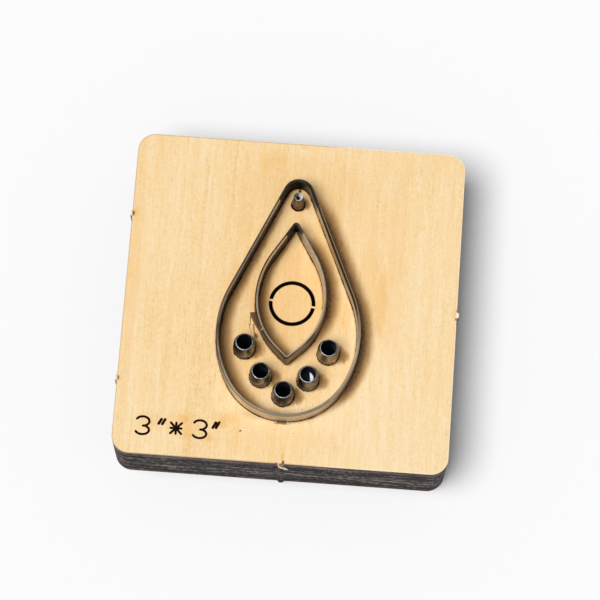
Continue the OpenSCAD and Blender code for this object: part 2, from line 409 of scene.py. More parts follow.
# Colours of the steel
BLUED_STEEL = (0.022, 0.020, 0.021)
SOOTED_FOOT = (0.05, 0.032, 0.022)
OILY_FOOT = (0.045, 0.036, 0.032)
STAIN_BROWN = (0.36, 0.25, 0.17)
# The inner bevel's and the land's tan tones are painted reflections of the lit wood. Each bevel takes its
# second tone where its painted light is set: a painted highlight on the outer bevel, painted shade on the
# inner bevel, and painted shade and a darker left side on the land.
BEVELS = {
    "outer_bevel_steel": {
        "dull": (0.022, 0.016, 0.010), "bright": (0.060, 0.045, 0.032), "painted_light_tone": (0.36, 0.33, 0.29),
        "metal": (0.0, 1.0), "painted_light": "facing_highlight",
    },
    "inner_bevel_steel": {
        "dull": (0.60, 0.49, 0.37), "bright": (0.92, 0.79, 0.63), "painted_light_tone": (0.045, 0.036, 0.026),
        "metal": (0.4, 0.2), "painted_light": "edge_shade",
    },
    "edge_land_steel": {
        "dull": (0.34, 0.27, 0.20), "bright": (0.62, 0.52, 0.40), "painted_light_tone": (0.022, 0.018, 0.014),
        "metal": (0.1, 0.1), "painted_light": "land_dark",
    },
}
# The hole punch's brown body colour is a painted reflection of the wood round it.
PUNCH_BODIES = {
    "oiled_punch_steel": (
        (0.045, 0.045, 0.050), (0.185, 0.175, 0.165), (0.52, 0.49, 0.46), (0.27, 0.20, 0.13)),
    "tanned_punch_steel": (
        (0.090, 0.080, 0.075), (0.30, 0.260, 0.215), (0.70, 0.62, 0.52), (0.50, 0.37, 0.23)),
    "wood_reflection_punch_steel": (
        (0.070, 0.050, 0.045), (0.19, 0.135, 0.115), (0.40, 0.30, 0.26), (0.13, 0.085, 0.070)),
}

# Orange places on the board's face, scorch and, in two broad ones inside the teardrop, painted warm bounce
# light and shade: middle, reach across and along, and strength
ORANGE_TINTS = [
    ((6.6, -0.6), (1.5, 2.3), 0.85),
    ((-13.4, -29.4), (1.5, 1.6), 1.0),
    ((-22.2, -29.5), (1.6, 1.5), 1.0),
    ((-22.8, -30.3), (4.0, 3.0), 0.45),
    ((-21.4, -32.4), (1.9, 1.9), 0.65),
    ((-16.4, -33.1), (1.5, 1.3), 0.8),
    ((-29.5, -30.5), (2.5, 2.5), 0.45),
    ((0.75, -36.6), (0.42, 1.4), 1.3),
    ((0.6, -34.5), (1.5, 4.0), 0.4),
    ((0.5, 20.6), (1.5, 0.8), 0.55),
    ((-6.5, 33.0), (4.2, 3.6), 0.55),
    ((1.5, 32.5), (4.5, 3.2), 0.4),
    ((-11.5, 19.0), (3.2, 7.0), 0.35),
    ((23.3, 12.0), (2.4, 24.0), 0.48),
    ((20.6, 1.5), (1.9, 9.0), 0.85),
    ((11.8, -1.5), (2.6, 6.5), 0.60),
    ((0.0, 27.0), (16.0, 9.0), 0.42),
    ((0.0, -33.0), (14.0, 6.0), 0.28),
    ((-12.6, -28.6), (3.0, 1.8), 0.65),
    ((17.8, 0.5), (2.0, 6.0), 0.40),
    ((16.0, 16.0), (5.0, 14.0), 0.25),
    ((17.6, 9.0), (3.6, 9.0), 0.45),
    ((-36.6, 0.0), (1.8, 34.0), 0.40),
    ((-12.8, 2.5), (2.4, 7.0), 0.50),
    ((9.5, -4.5), (2.6, 5.0), 0.45),
    ((-3.2, 19.5), (1.8, 4.5), 0.45),
    # these two broad tints inside the teardrop are painted warm bounce light and shade from its walls
    ((0.0, 1.0), (12.0, 22.0), 0.62),
    ((0.0, -12.0), (15.0, 14.0), 0.50),
    ((-37.3, 18.6), (0.9, 1.2), 0.7),
    ((-37.4, -20.8), (0.8, 1.0), 0.7),
    ((37.4, -0.4), (0.7, 1.0), 0.5),
    ((0.4, 37.4), (1.2, 0.6), 0.6),
]
BROWN_BURNS = [
    ((0.98, -37.80), (0.34, 0.60), 1.0),
    ((0.55, -38.25), (0.75, 0.28), 0.9),
    ((-0.55, -38.10), (0.40, 0.30), 0.8),
    ((0.18, 26.60), (0.45, 0.75), 1.0),
    ((-37.8, 18.5), (0.35, 0.7), 0.8),
    ((-37.8, -20.8), (0.3, 0.6), 0.8),
    ((38.05, 0.55), (0.22, 0.40), 0.9),
    ((38.00, -1.45), (0.26, 0.40), 0.9),
    ((-7.4, -8.9), (0.6, 0.7), 0.7),
    ((0.0, -28.7), (2.1, 0.35), 0.75),
]
# Blots of painted shadow beside the right flank and along the inside of the teardrop's bottom: middle, reach
# across and along, and strength
SHADOW_BLOTS = [
    ((9.9, 14.0), (1.7, 2.6), 0.55),
    ((-3.0, TEARDROP_LOW[1] + 1.5), (7.5, 1.7), 0.26),
]
# Black voids between the plies of the front wall: middle across and up, reach across and up, and strength
FRONT_VOIDS = [
    ((-31.7, 13.9), (1.7, 0.85), 1.0),
    ((-32.4, 10.8), (1.4, 0.75), 1.0),
    ((-27.6, 13.9), (0.9, 0.85), 1.0),
    ((-23.8, 13.8), (1.6, 0.85), 1.0),
    ((-18.2, 13.7), (1.8, 0.75), 1.0),
    ((-9.0, 13.6), (4.5, 0.60), 0.8),
    ((7.5, 13.5), (6.5, 0.75), 1.0),
    ((21.0, 13.3), (6.0, 0.65), 0.9),
    ((31.0, 13.3), (3.5, 0.55), 0.8),
]
# Pale torn wood on the front stub, given in the same way
FRONT_TEARS = [
    ((0.38, 16.3), (0.42, 0.75), 1.0),
    ((0.72, 15.5), (0.34, 0.70), 1.0),
    ((0.05, 13.6), (0.10, 1.60), 0.8),
]


# Finish of the plywood

def spot(f, x, y, wander, at, reach, strength):
    """A soft round patch with a ragged edge: its strength times how far inside the reach a point is."""
    across = f.math("MULTIPLY", f.math("SUBTRACT", x, at[0] * MM), 1 / (reach[0] * MM))
    along = f.math("MULTIPLY", f.math("SUBTRACT", y, at[1] * MM), 1 / (reach[1] * MM))
    squares = f.math("ADD", f.math("POWER", across, 2.0), f.math("POWER", along, 2.0))
    return f.grade(f.math("ADD", squares, wander), 1.5, 0.0, 0.0, strength)


def spots(f, x, y, wander, places):
    """The strongest of several patches at each point."""
    total = 0.0
    for at, reach, strength in places:
        total = f.math("MAXIMUM", total, spot(f, x, y, wander, at, reach, strength))
    return total


def wall_course(f, share, course):
    """A wall's X at each share of its length along Y, as a smooth curve through evenly spaced points."""
    low, high = course.min(), course.max()
    made = f.node("ShaderNodeFloatCurve")
    curve = made.mapping.curves[0]
    heights = (course - low) / (high - low)
    for place, height in zip(np.linspace(0.0, 1.0, len(course))[1:-1], heights[1:-1]):
        curve.points.new(place, height)
    curve.points[0].location = (0.0, heights[0])
    curve.points[-1].location = (1.0, heights[-1])
    made.mapping.update()
    f.put(made.inputs["Value"], share)
    return f.math("MULTIPLY_ADD", made.outputs[0], (high - low) * MM, low * MM)


def wall_shadow(f, x, y, wander, wall, strength, front, back, rise):
    """Painted shadow on the +X side of one wall.

    At each Y the wall's own X comes from its outline, and the shadow fades with the distance past it. It dies
    away towards the ends of the outline, where the wall runs along X.
    """
    wall = wall[np.argsort(wall[:, 1])]
    start, length = wall[0, 1], wall[-1, 1] - wall[0, 1]
    course = np.interp(np.linspace(start, start + length, COURSE_POINTS), wall[:, 1], wall[:, 0])
    share = f.math("MULTIPLY_ADD", y, 1 / (length * MM), -start / length)
    past = f.math("SUBTRACT", x, wall_course(f, share, course))
    ragged = f.math("MULTIPLY_ADD", wander, SHADOW_RAGGED * MM, past)
    limit = f.math("MULTIPLY_ADD", share, (back - front) * MM, front * MM)
    darkening = f.grade(ragged, SHADOW_FULL * MM, limit, strength, 0.0)
    darkening = f.math("MULTIPLY", darkening, f.math("GREATER_THAN", past, -SHADOW_UNDER * MM))
    ends = f.math("MULTIPLY", f.grade(share, SHADOW_START, rise), f.grade(share, *SHADOW_TOP))
    return f.math("MULTIPLY", darkening, ends)


def painted_shadows(f, x, y, wander, rules):
    """Painted shadow beside the right wall of each rule, inside its left wall, in two blots and beside each
    punch.
    """
    total = spots(f, x, y, wander, SHADOW_BLOTS)
    for (loop, _, _), (right_shadow, left_shadow) in zip(rules, WALL_SHADOWS):
        inner = loop.points - RULE_T * loop.facing
        right = loop.points[loop.points[:, 0] > 0.0]
        left = inner[(loop.points[:, 0] < 0.0) & (inner[:, 0] < 0.0)]
        for wall, shade_side in ((right, right_shadow), (left, left_shadow)):
            total = f.math("MAXIMUM", total, wall_shadow(f, x, y, wander, wall, *shade_side))
    past, along, strength = PUNCH_SHADOW
    for node in PUNCHES:
        middle, radius = upright(node)
        at = (middle[0] + past * radius, middle[1])
        blot = spot(f, x, y, wander, at, (radius, along * radius), strength)
        total = f.math("MAXIMUM", total, blot)
    return total


def circle_burn(f, x, y, wander):
    """Burnt margins of the kerf circle: full at the cut, gone a little past it, and none on a bridge."""
    turn = math.radians(CIRCLE_TURN)
    across = f.math("SUBTRACT", x, CIRCLE_AT[0] * MM)
    along = f.math("SUBTRACT", y, CIRCLE_AT[1] * MM)
    away = f.math("ABSOLUTE", f.math("SUBTRACT", f.length(f.join(across, along, 0.0)), CIRCLE_R * MM))
    ragged = f.math("MULTIPLY_ADD", wander, CIRCLE_RAGGED * MM, away)
    burn = f.grade(ragged, (CIRCLE_KERF / 2 + CIRCLE_BURN) * MM, CIRCLE_KERF / 2 * MM)
    beside = f.math("ABSOLUTE", f.weigh((across, -math.sin(turn)), (along, math.cos(turn))))
    return f.math("MULTIPLY", burn, f.grade(beside, CIRCLE_BRIDGE[0] * MM, CIRCLE_BRIDGE[1] * MM))


def birch_veneer(f, place, x, y):
    """Face veneer with its grain along Y: broad tone, growth streaks, fibres, mottle, blush and pores."""
    broad = f.noise(f.stretch(place, 70, 16, 20))
    streak = f.noise(f.stretch(place, 780, 18, 20), detail=3.0, distortion=0.35)
    fibre_grain = f.noise(f.stretch(place, 4600, 190, 20), roughness=0.6)
    mottle = f.noise(f.stretch(place, 2300, 1500, 20), roughness=0.7)
    pore = f.grade(f.noise(f.stretch(place, 5200, 640, 20), detail=1.0), 0.66, 0.76)
    blush = f.noise(f.stretch(place, 620, 90, 20, (7.0, 0.0, 0.0)), detail=3.0, roughness=0.7)
    tone = f.weigh((broad, 0.24), (streak, 0.18), (fibre_grain, 0.26), (mottle, 0.32))
    paler = f.weigh((x, 0.60), (y, -0.6))
    tone = f.math("ADD", f.math("MULTIPLY_ADD", tone, 1.85, -0.345), paler)
    veneer = f.colours(tone, *VENEER_TONES)
    veneer = f.mix(f.grade(blush, 0.42, 0.62, 0.0, 0.26), veneer, BLUSH_ORANGE)
    veneer = f.mix(f.math("MULTIPLY", pore, 0.16), veneer, PORE_BROWN)
    return veneer, fibre_grain, mottle, pore


def scorched_veneer(f, veneer, place, mottle, reach, rules):
    """The veneer with orange tints, the skins' scorch and painted shade, the painted shadows, brown burns,
    the circle's burn and a line along the edge.
    """
    x, y, z = f.split(place)
    wander = f.math("MULTIPLY_ADD", f.noise(f.stretch(place, 900, 420, 20), detail=3.0), 1.4, -0.7)
    # painted shadows beside each wall and punch, kept to the top face
    painted_shadow = painted_shadows(f, x, y, wander, rules)
    painted_shadow = f.math("MULTIPLY", painted_shadow, f.math("GREATER_THAN", z, BOARD_TOP / 2 * MM))
    painted_shadow = f.math("MULTIPLY", painted_shadow, f.math("MULTIPLY_ADD", mottle, 0.5, 0.75))
    # the skins' scorch and painted shade and the painted shadows darken the veneer as one
    darkening = f.math("MAXIMUM", f.attribute("darkening"), painted_shadow)
    tint = f.math("MULTIPLY", spots(f, x, y, wander, ORANGE_TINTS), 0.62)
    veneer = f.mix(tint, veneer, TINT_ORANGE)
    veneer = f.mix(f.grade(darkening, 0.0, 0.45, 0.0, 0.85), veneer, SCORCH_SHADE_BROWN)
    veneer = f.mix(f.grade(darkening, 0.30, 0.95), veneer, SCORCH_SHADE_BLACK)
    veneer = f.mix(spots(f, x, y, wander, BROWN_BURNS), veneer, BURN_BROWN)
    veneer = f.mix(circle_burn(f, x, y, wander), veneer, BURN_BLACK)
    edge = f.math("MULTIPLY_ADD", wander, 0.08 * MM, reach)
    rim = f.grade(edge, (CORNER_R - 0.34) * MM, (CORNER_R - 0.02) * MM, 0.0, 0.42)
    clean_side = f.grade(x, 5.0 * MM, 12.0 * MM)
    return f.mix(rim, veneer, f.mix(clean_side, RIM_BROWN, RIM_CREAM))


def charred_walls(f, place, facing, reach):
    """Laser-cut walls: plies in bands, long streaks of soot and fine ash, with black voids at the front.

    The ply under the face is paler, a brown lip and foot run along the wall, and slots are black inside.
    """
    x, y, z = f.split(place)
    sway = f.math("MULTIPLY", f.noise(f.stretch(place, 90, 90, 300), detail=3.0), 1.1 * MM)
    level = f.math("ADD", z, sway)
    ply = f.noise(f.stretch(f.join(0.0, 0.0, level), 1, 1, 430), detail=1.0)
    soot = f.noise(f.stretch(place, 110, 110, 620), detail=3.0, roughness=0.6)
    ash = f.noise(f.stretch(place, 900, 900, 1500), detail=3.0, roughness=0.8)
    char = f.colours(f.weigh((ply, 0.32), (soot, 0.26), (ash, 0.42)), *CHAR_TONES)
    upper_ply = f.grade(level, (BOARD_TOP - 2.7) * MM, (BOARD_TOP - 1.7) * MM, 0.0, 0.80)
    char = f.mix(upper_ply, char, f.colours(f.weigh((ash, 0.5), (soot, 0.5)), *UPPER_PLY_TONES))
    at_front = f.math("LESS_THAN", y, (1.0 - BOARD_HALF) * MM)
    is_front = f.math("MULTIPLY", f.math("LESS_THAN", facing[1], -0.5), at_front)
    ragged = f.math("MULTIPLY_ADD", ash, 1.6, -0.8)
    voids = f.math("MULTIPLY", is_front, spots(f, x, level, ragged, FRONT_VOIDS))
    char = f.mix(voids, char, VOID_BLACK)
    torn = f.math("MULTIPLY", is_front, spots(f, x, z, ragged, FRONT_TEARS))
    char = f.mix(f.grade(torn, 0.25, 0.6), char, TORN_CREAM)
    char = f.mix(f.grade(z, (BOARD_TOP - 0.45) * MM, (BOARD_TOP - 0.05) * MM), char, LIP_BROWN)
    char = f.mix(f.grade(z, 1.1 * MM, 0.2 * MM, 0.0, 0.65), char, FOOT_BROWN)
    inside = f.grade(reach, (CORNER_R - 0.5) * MM, (CORNER_R - 1.0) * MM, 0.0, 0.92)
    return f.mix(inside, char, KERF_BLACK), soot, ash


def plywood(rules):
    """Birch plywood: veneer on the faces above and below, and char on every cut wall.

    A point's reach is how far it lies past the square between the corners' centres, so it is the corners'
    radius all along the board's edge.
    """
    f = Finish("laser_cut_birch_plywood")
    place = f.place()
    x, y, _ = f.split(place)
    facing = f.split(f.node("ShaderNodeNewGeometry").outputs["Normal"])
    is_face = f.math("GREATER_THAN", f.math("ABSOLUTE", facing[2]), 0.5)
    inner = (BOARD_HALF - CORNER_R) * MM
    past = [f.math("MAXIMUM", f.math("SUBTRACT", f.math("ABSOLUTE", side), inner), 0.0) for side in (x, y)]
    reach = f.length(f.join(*past, 0.0))
    veneer, fibre_grain, mottle, pore = birch_veneer(f, place, x, y)
    veneer = scorched_veneer(f, veneer, place, mottle, reach, rules)
    char, soot, ash = charred_walls(f, place, facing, reach)
    wall_roughness = f.math("MULTIPLY_ADD", soot, 0.3, 0.55)
    face_roughness = f.math("MULTIPLY_ADD", fibre_grain, 0.2, 0.5)
    height = f.blend(is_face, f.math("ADD", soot, ash), f.math("SUBTRACT", fibre_grain, pore))
    f.relief(height, 0.5, 0.05)
    roughness = f.blend(is_face, wall_roughness, face_roughness)
    return f.surface(f.mix(is_face, char, veneer), roughness, specular=0.08)


# Finishes of the steel

def heat_stain(f, place):
    """Clouds of heat stain on a rule."""
    return f.noise(f.stretch(place, 330, 330, 260), detail=4.0, roughness=0.65)


def bend_blue(f, colour, stain):
    """A steel's colour with the near-black temper of its heated bends laid over it."""
    blued = f.math("MULTIPLY", f.attribute("temper"), f.math("MULTIPLY_ADD", stain, 0.5, 0.65), clamp=True)
    return f.mix(blued, colour, BLUED_STEEL)


def ground_bevel(name, dull, bright, painted_light_tone, metal, painted_light):
    """Ground side of the cutting edge: fine grinding marks across it, and a second tone where its painted
    light attribute is set.
    """
    f = Finish(name)
    place = f.place()
    along = f.join(f.attribute("along"), 0.0, f.split(place)[2])
    grind = f.noise(f.stretch(along, 4200, 1, 240))
    stain = heat_stain(f, place)
    painted_light_share = f.attribute(painted_light)
    colour = f.colours(f.weigh((grind, 0.4), (stain, 0.6)), (0.35, dull), (0.65, bright))
    colour = bend_blue(f, f.mix(painted_light_share, colour, painted_light_tone), stain)
    f.relief(grind, 0.25, 0.02)
    roughness = f.math("MULTIPLY_ADD", grind, 0.15, 0.34)
    return f.surface(colour, roughness, metallic=f.blend(painted_light_share, *metal), specular=0.1, glance=0.8)


def rule_steel():
    """Dark tempered strip: lengthwise rolling streaks, brown stains, blued bends and a sooted foot, with a
    lit tone and a darker painted-shade tone mixed by its facing shade.
    """
    f = Finish("tempered_rule_steel")
    place = f.place()
    z = f.split(place)[2]
    rolled = f.noise(f.stretch(f.join(f.attribute("along"), 0.0, z), 70, 1, 3600), detail=3.0, roughness=0.6)
    stain = heat_stain(f, place)
    lit = f.colours(
        f.weigh((rolled, 0.5), (stain, 0.5)),
        (0.32, (0.36, 0.325, 0.29)),
        (0.50, (0.60, 0.550, 0.50)),
        (0.66, (0.82, 0.775, 0.72)),
    )
    lit = f.mix(f.grade(stain, 0.52, 0.68, 0.0, 0.6), lit, STAIN_BROWN)
    # the darker copy of the steel, laid on as painted shade where a wall faces away from the light
    dark = f.colours(
        f.weigh((rolled, 0.6), (stain, 0.4)),
        (0.34, (0.020, 0.015, 0.013)),
        (0.47, (0.105, 0.082, 0.070)),
        (0.60, (0.360, 0.300, 0.260)),
    )
    facing_shade = f.attribute("facing_shade")
    colour = bend_blue(f, f.mix(facing_shade, lit, dark), stain)
    foot = f.grade(z, (BOARD_TOP + 0.85) * MM, (BOARD_TOP + 0.1) * MM, 0.0, 0.85)
    foot = f.math("MULTIPLY", foot, f.math("MULTIPLY_ADD", stain, 0.6, 0.4))
    colour = f.mix(foot, colour, SOOTED_FOOT)
    f.relief(f.weigh((rolled, 1.0), (stain, 0.6)), 0.35, 0.03)
    # reflections dimmed where the painted shade lies
    glance = f.mix(facing_shade, (1.0, 1.0, 1.0), (0.40, 0.40, 0.40))
    return f.surface(colour, f.math("MULTIPLY_ADD", rolled, 0.16, 0.22), metallic=1.0, glance=glance)


def punch_body_steel(name, dark, middle, bright, stained):
    """Turned tube: fine rings round the body, heat stains in its own tones and an oily foot."""
    f = Finish(name)
    place = f.place()
    z = f.split(place)[2]
    rings = f.noise(f.stretch(f.join(0.0, 0.0, z), 1, 1, 7200))
    stain = f.noise(f.stretch(place, 620, 620, 420), detail=4.0, roughness=0.65)
    tone = f.weigh((rings, 0.3), (stain, 0.7))
    colour = f.colours(tone, (0.36, dark), (0.50, middle), (0.66, bright))
    colour = f.mix(f.grade(stain, 0.55, 0.72, 0.0, 0.6), colour, stained)
    foot = f.grade(z, (BOARD_TOP + 1.1) * MM, (BOARD_TOP + 0.1) * MM, 0.0, 0.7)
    colour = f.mix(foot, colour, OILY_FOOT)
    f.relief(f.math("ADD", rings, stain), 0.35, 0.02)
    return f.surface(colour, f.math("MULTIPLY_ADD", stain, 0.2, 0.18), metallic=1.0, glance=0.6)


def honed_steel(name, dull, bright, metal, shade_tone=None):
    """Cutting lip with faint honing lines; given a shade tone, it is bright only in its painted highlight and
    takes that painted shade elsewhere.
    """
    f = Finish(name)
    hone = f.noise(f.stretch(f.place(), 2600, 2600, 900), detail=3.0)
    colour = f.colours(hone, (0.32, dull), (0.65, bright))
    if shade_tone:
        colour = f.mix(f.attribute("painted_light_share"), shade_tone, colour)
    return f.surface(colour, f.math("MULTIPLY_ADD", hone, 0.2, 0.30), metallic=metal)


def black_bore():
    """Near-black bore, for old oil and the painted shade deep in a hole, with a blue cast and a few drag
    lines, and a painted highlight where the key light falls in.
    """
    f = Finish("oily_shaded_bore")
    drag = f.noise(f.stretch(f.place(), 3400, 3400, 160))
    colour = f.colours(drag, (0.35, (0.004, 0.005, 0.008)), (0.7, (0.016, 0.019, 0.032)))
    colour = f.mix(f.attribute("painted_light_share"), colour, (0.80, 0.82, 0.84))
    return f.surface(colour, f.math("MULTIPLY_ADD", drag, 0.2, 0.35), specular=0.35)


# Finishes of burns, waste and torn wood

def burnt_line():
    """Laser-burnt stroke, almost black with brown where the burn is light."""
    f = Finish("burnt_wood_line")
    soot = f.noise(f.stretch(f.place(), 1500, 1500, 900), detail=3.0)
    colour = f.colours(soot, (0.35, (0.003, 0.002, 0.002)), (0.72, (0.032, 0.013, 0.007)))
    f.relief(soot, 0.5, 0.04)
    return f.surface(colour, f.math("MULTIPLY_ADD", soot, 0.2, 0.75), specular=0.0)


def cut_stock():
    """Cut stock with a fine fibrous mottle, black in painted shade and white in a painted patch of the key
    light.
    """
    f = Finish("lit_and_shaded_slug_stock")
    mottle = f.noise(f.stretch(f.place(), 2400, 1700, 2000), detail=3.0)
    f.relief(mottle, 0.4, 0.04)
    shaded = f.colours(mottle, (0.3, (0.003, 0.004, 0.008)), (0.65, (0.008, 0.011, 0.020)))
    white = f.colours(mottle, (0.3, (0.84, 0.86, 0.80)), (0.65, (0.95, 0.95, 0.93)))
    colour = f.mix(f.attribute("lit_patch"), shaded, white)
    return f.surface(colour, f.math("MULTIPLY_ADD", mottle, 0.2, 0.6), specular=0.05)


def raw_fibre():
    """Pale torn wood with streaks along its fibres: creamier with a scorch below 0, and browner above."""
    f = Finish("raw_torn_birch")
    grain = f.noise(f.stretch(f.place(), 3800, 1200, 1200), detail=3.0)
    colour = f.colours(
        grain, (0.30, (0.70, 0.52, 0.28)), (0.55, (0.92, 0.82, 0.60)), (0.75, (0.96, 0.91, 0.76)))
    scorch = f.attribute("scorch")
    colour = f.mix(f.grade(scorch, 0.0, -1.0), colour, (0.97, 0.93, 0.80))
    colour = f.mix(f.grade(scorch, 0.0, 0.5), colour, (0.52, 0.27, 0.10))
    colour = f.mix(f.grade(scorch, 0.45, 1.0), colour, (0.085, 0.032, 0.018))
    f.relief(grain, 0.5, 0.05)
    return f.surface(colour, f.math("MULTIPLY_ADD", grain, 0.2, 0.6), specular=0.2)


# Meshes and outlines

def add_object(name, data):
    """A new object in the scene from a mesh, a light or a camera."""
    made = bpy.data.objects.new(name, data)
    bpy.context.scene.collection.objects.link(made)
    return made


def tube_faces(rows, columns, ring):
    """Faces of a grid whose rows close on themselves, with the last row joined to the first in a ring."""
    number = np.arange(rows * columns).reshape(rows, columns)
    if ring:
        number = np.vstack([number, number[:1]])
    number = np.hstack([number, number[:, :1]])
    corners = (number[:-1, :-1], number[1:, :-1], number[1:, 1:], number[:-1, 1:])
    return np.stack(corners, axis=-1).reshape(-1, 4)


def piece(name, grids, materials, stands_for=None, rings=False, values=None, kinds=None, sharp=35.0):
    """A mesh from grids of points in millimetres, riding on the die's one body.

    Each grid is a tube whose rows close on themselves. Rings join their last row to their first, and other
    tubes have a cap at each end. All faces are then turned outwards.
    """
    faces, caps, first = [], [], 0
    for grid in grids:
        rows, columns = grid.shape[:2]
        faces += (tube_faces(rows, columns, rings) + first).tolist()
        if not rings:
            end = np.arange(columns) + first
            caps += [end[::-1].tolist(), (end + (rows - 1) * columns).tolist()]
        first += rows * columns
    points = np.vstack([grid.reshape(-1, 3) for grid in grids])
    mesh = bpy.data.meshes.new(name)
    mesh.from_pydata((points * MM).tolist(), [], faces + caps)
    shell = bmesh.new()
    shell.from_mesh(mesh)
    bmesh.ops.recalc_face_normals(shell, faces=shell.faces)
    shell.to_mesh(mesh)
    shell.free()
    for material in materials:
        mesh.materials.append(material)
    for title, numbers in (values or {}).items():
        layer = mesh.attributes.new(title, "FLOAT", "POINT")
        layer.data.foreach_set("value", np.asarray(numbers, np.float32))
    if kinds is not None:
        mesh.polygons.foreach_set("material_index", np.asarray(kinds, np.int32))
    mesh.polygons.foreach_set("use_smooth", np.ones(len(mesh.polygons), bool))
    mesh.set_sharp_from_angle(angle=math.radians(sharp))
    mesh.update()
    made = add_object(name, mesh)
    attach(made, "root")
    if stands_for:
        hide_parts(stands_for)
    return made


def arc(centre, radius, start, end):
    """Points at even steps on a circle from one angle to another, and the way that each one faces."""
    count = max(int(math.radians(abs(end - start)) * radius / STEP), 8)
    turn = np.radians(np.linspace(start, end, count + 1))
    facing = np.c_[np.cos(turn), np.sin(turn)]
    return np.asarray(centre) + radius * facing, facing


def straight(start, end, facing):
    """Points at even steps on a line, all facing one angle."""
    count = max(int(np.linalg.norm(end - start) / STEP), 2)
    share = np.linspace(0.0, 1.0, count + 1)[:, None]
    turn = math.radians(facing)
    return start + share * (end - start), np.tile([math.cos(turn), math.sin(turn)], (count + 1, 1))


class Loop:
    """A closed outline, symmetric across X = 0, from its top down the right side and up the left."""

    def __init__(self, stretches):
        points = np.vstack([stretches[0][0][:1]] + [s[0][1:] for s in stretches])
        facing = np.vstack([stretches[0][1][:1]] + [s[1][1:] for s in stretches])
        flip = np.array([-1.0, 1.0])
        self.points = np.vstack([points, points[-2::-1] * flip])
        self.facing = np.vstack([facing, facing[-2::-1] * flip])
        self.length = run_lengths(self.points)
        self.total = self.length[-1]

    def at(self, lengths):
        """Points and facings at distances from the top, measured clockwise."""
        wrapped = np.mod(lengths, self.total)
        facing = unit(read_off(wrapped, self.length, self.facing))
        return read_off(wrapped, self.length, self.points), facing

    def nearest(self, point):
        """Distance along the loop to the place nearest a point."""
        return self.length[np.argmin(np.linalg.norm(self.points - np.asarray(point), axis=1))]

    def walls(self, step):
        """The slot's outer and inner wall: points, the way out of the slot, and the room there is.

        The room on the inner wall is how far a point can go before it meets its mirror image at X = 0.
        """
        lengths = np.linspace(0.0, self.total, int(self.total / step))[:-1]
        points, facing = self.at(lengths)
        inner = points - RULE_T * facing
        sideways = np.abs(facing[:, 0])
        room = np.where(sideways > 1e-3, np.abs(inner[:, 0]) / np.maximum(sideways, 1e-3), RULE_TOP)
        nearby = np.minimum(np.roll(room, 1), np.roll(room, -1))
        return (points, facing, RULE_TOP), (inner, -facing, 0.95 * np.minimum(room, nearby))


def teardrop_loop():
    """Teardrop on the rule's outer face: a narrow end, straight flanks, bulging sides and a round bottom.

    Gives the outline, the distance to its butt and the distances to its bridges.
    """
    top_centre = np.array([0.0, TEARDROP_HIGH[1] - TEARDROP_TOP_R])
    side_x = TEARDROP_HIGH[0] - TEARDROP_SIDE_R
    join = math.radians(TEARDROP_JOIN)
    bottom_r = TEARDROP_SIDE_R + side_x / math.cos(join)
    bottom_centre = np.array([0.0, TEARDROP_LOW[1] + bottom_r])
    side_centre = np.array([side_x, bottom_centre[1] - side_x * math.tan(join)])
    between = side_centre - top_centre
    flank = math.degrees(
        math.atan2(between[1], between[0])
        + math.acos((TEARDROP_TOP_R - TEARDROP_SIDE_R) / np.linalg.norm(between))
    )
    narrow_end = arc(top_centre, TEARDROP_TOP_R, 90.0, flank)
    side = arc(side_centre, TEARDROP_SIDE_R, flank, -TEARDROP_JOIN)
    flank_line = straight(narrow_end[0][-1], side[0][0], flank)
    bottom = arc(bottom_centre, bottom_r, -TEARDROP_JOIN, -90.0)
    loop = Loop([narrow_end, flank_line, side, bottom])
    butt = loop.nearest(narrow_end[0][-1]) + TEARDROP_BUTT
    middle = loop.nearest(flank_line[0].mean(axis=0))
    return loop, butt, [middle, loop.total / 2, loop.total - middle]


def oval_loop():
    """Pointed oval on the rule's outer face: two sharp bends, straight flanks and arcs to its waist.

    Gives the outline, the distance to its butt and the distances to its bridges.
    """
    half = OVAL_HIGH[0]

    def flank_arc(angle, distance):
        """Radius of the arc from the waist into a flank at an angle, over a distance to the bend."""
        turn = math.radians(angle)
        pull = distance * math.sin(turn) + OVAL_BEND_R - half * math.cos(turn)
        return pull / (1.0 - math.cos(turn))

    upper_bend = np.array([0.0, OVAL_HIGH[1] - OVAL_BEND_R])
    lower_bend = np.array([0.0, OVAL_LOW[1] + OVAL_BEND_R])
    upper_r = flank_arc(OVAL_UPPER_ANGLE, upper_bend[1] - OVAL_WIDE_Y)
    lower_r = flank_arc(OVAL_LOWER_ANGLE, OVAL_WIDE_Y - lower_bend[1])
    point = arc(upper_bend, OVAL_BEND_R, 90.0, OVAL_UPPER_ANGLE)
    upper = arc((half - upper_r, OVAL_WIDE_Y), upper_r, OVAL_UPPER_ANGLE, 0.0)
    lower = arc((half - lower_r, OVAL_WIDE_Y), lower_r, 0.0, -OVAL_LOWER_ANGLE)
    tip = arc(lower_bend, OVAL_BEND_R, -OVAL_LOWER_ANGLE, -90.0)
    upper_flank = straight(point[0][-1], upper[0][0], OVAL_UPPER_ANGLE)
    lower_flank = straight(lower[0][-1], tip[0][0], -OVAL_LOWER_ANGLE)
    loop = Loop([point, upper_flank, upper, lower, lower_flank, tip])
    waist = loop.nearest((half, OVAL_WIDE_Y))
    butt = loop.total - waist - math.radians(OVAL_BUTT_ANGLE) * lower_r
    low = waist + math.radians(OVAL_BRIDGE_ANGLE) * lower_r
    high = loop.nearest(upper_flank[0].mean(axis=0))
    return loop, butt, [high, low, loop.total - low, loop.total - high]


# Rules

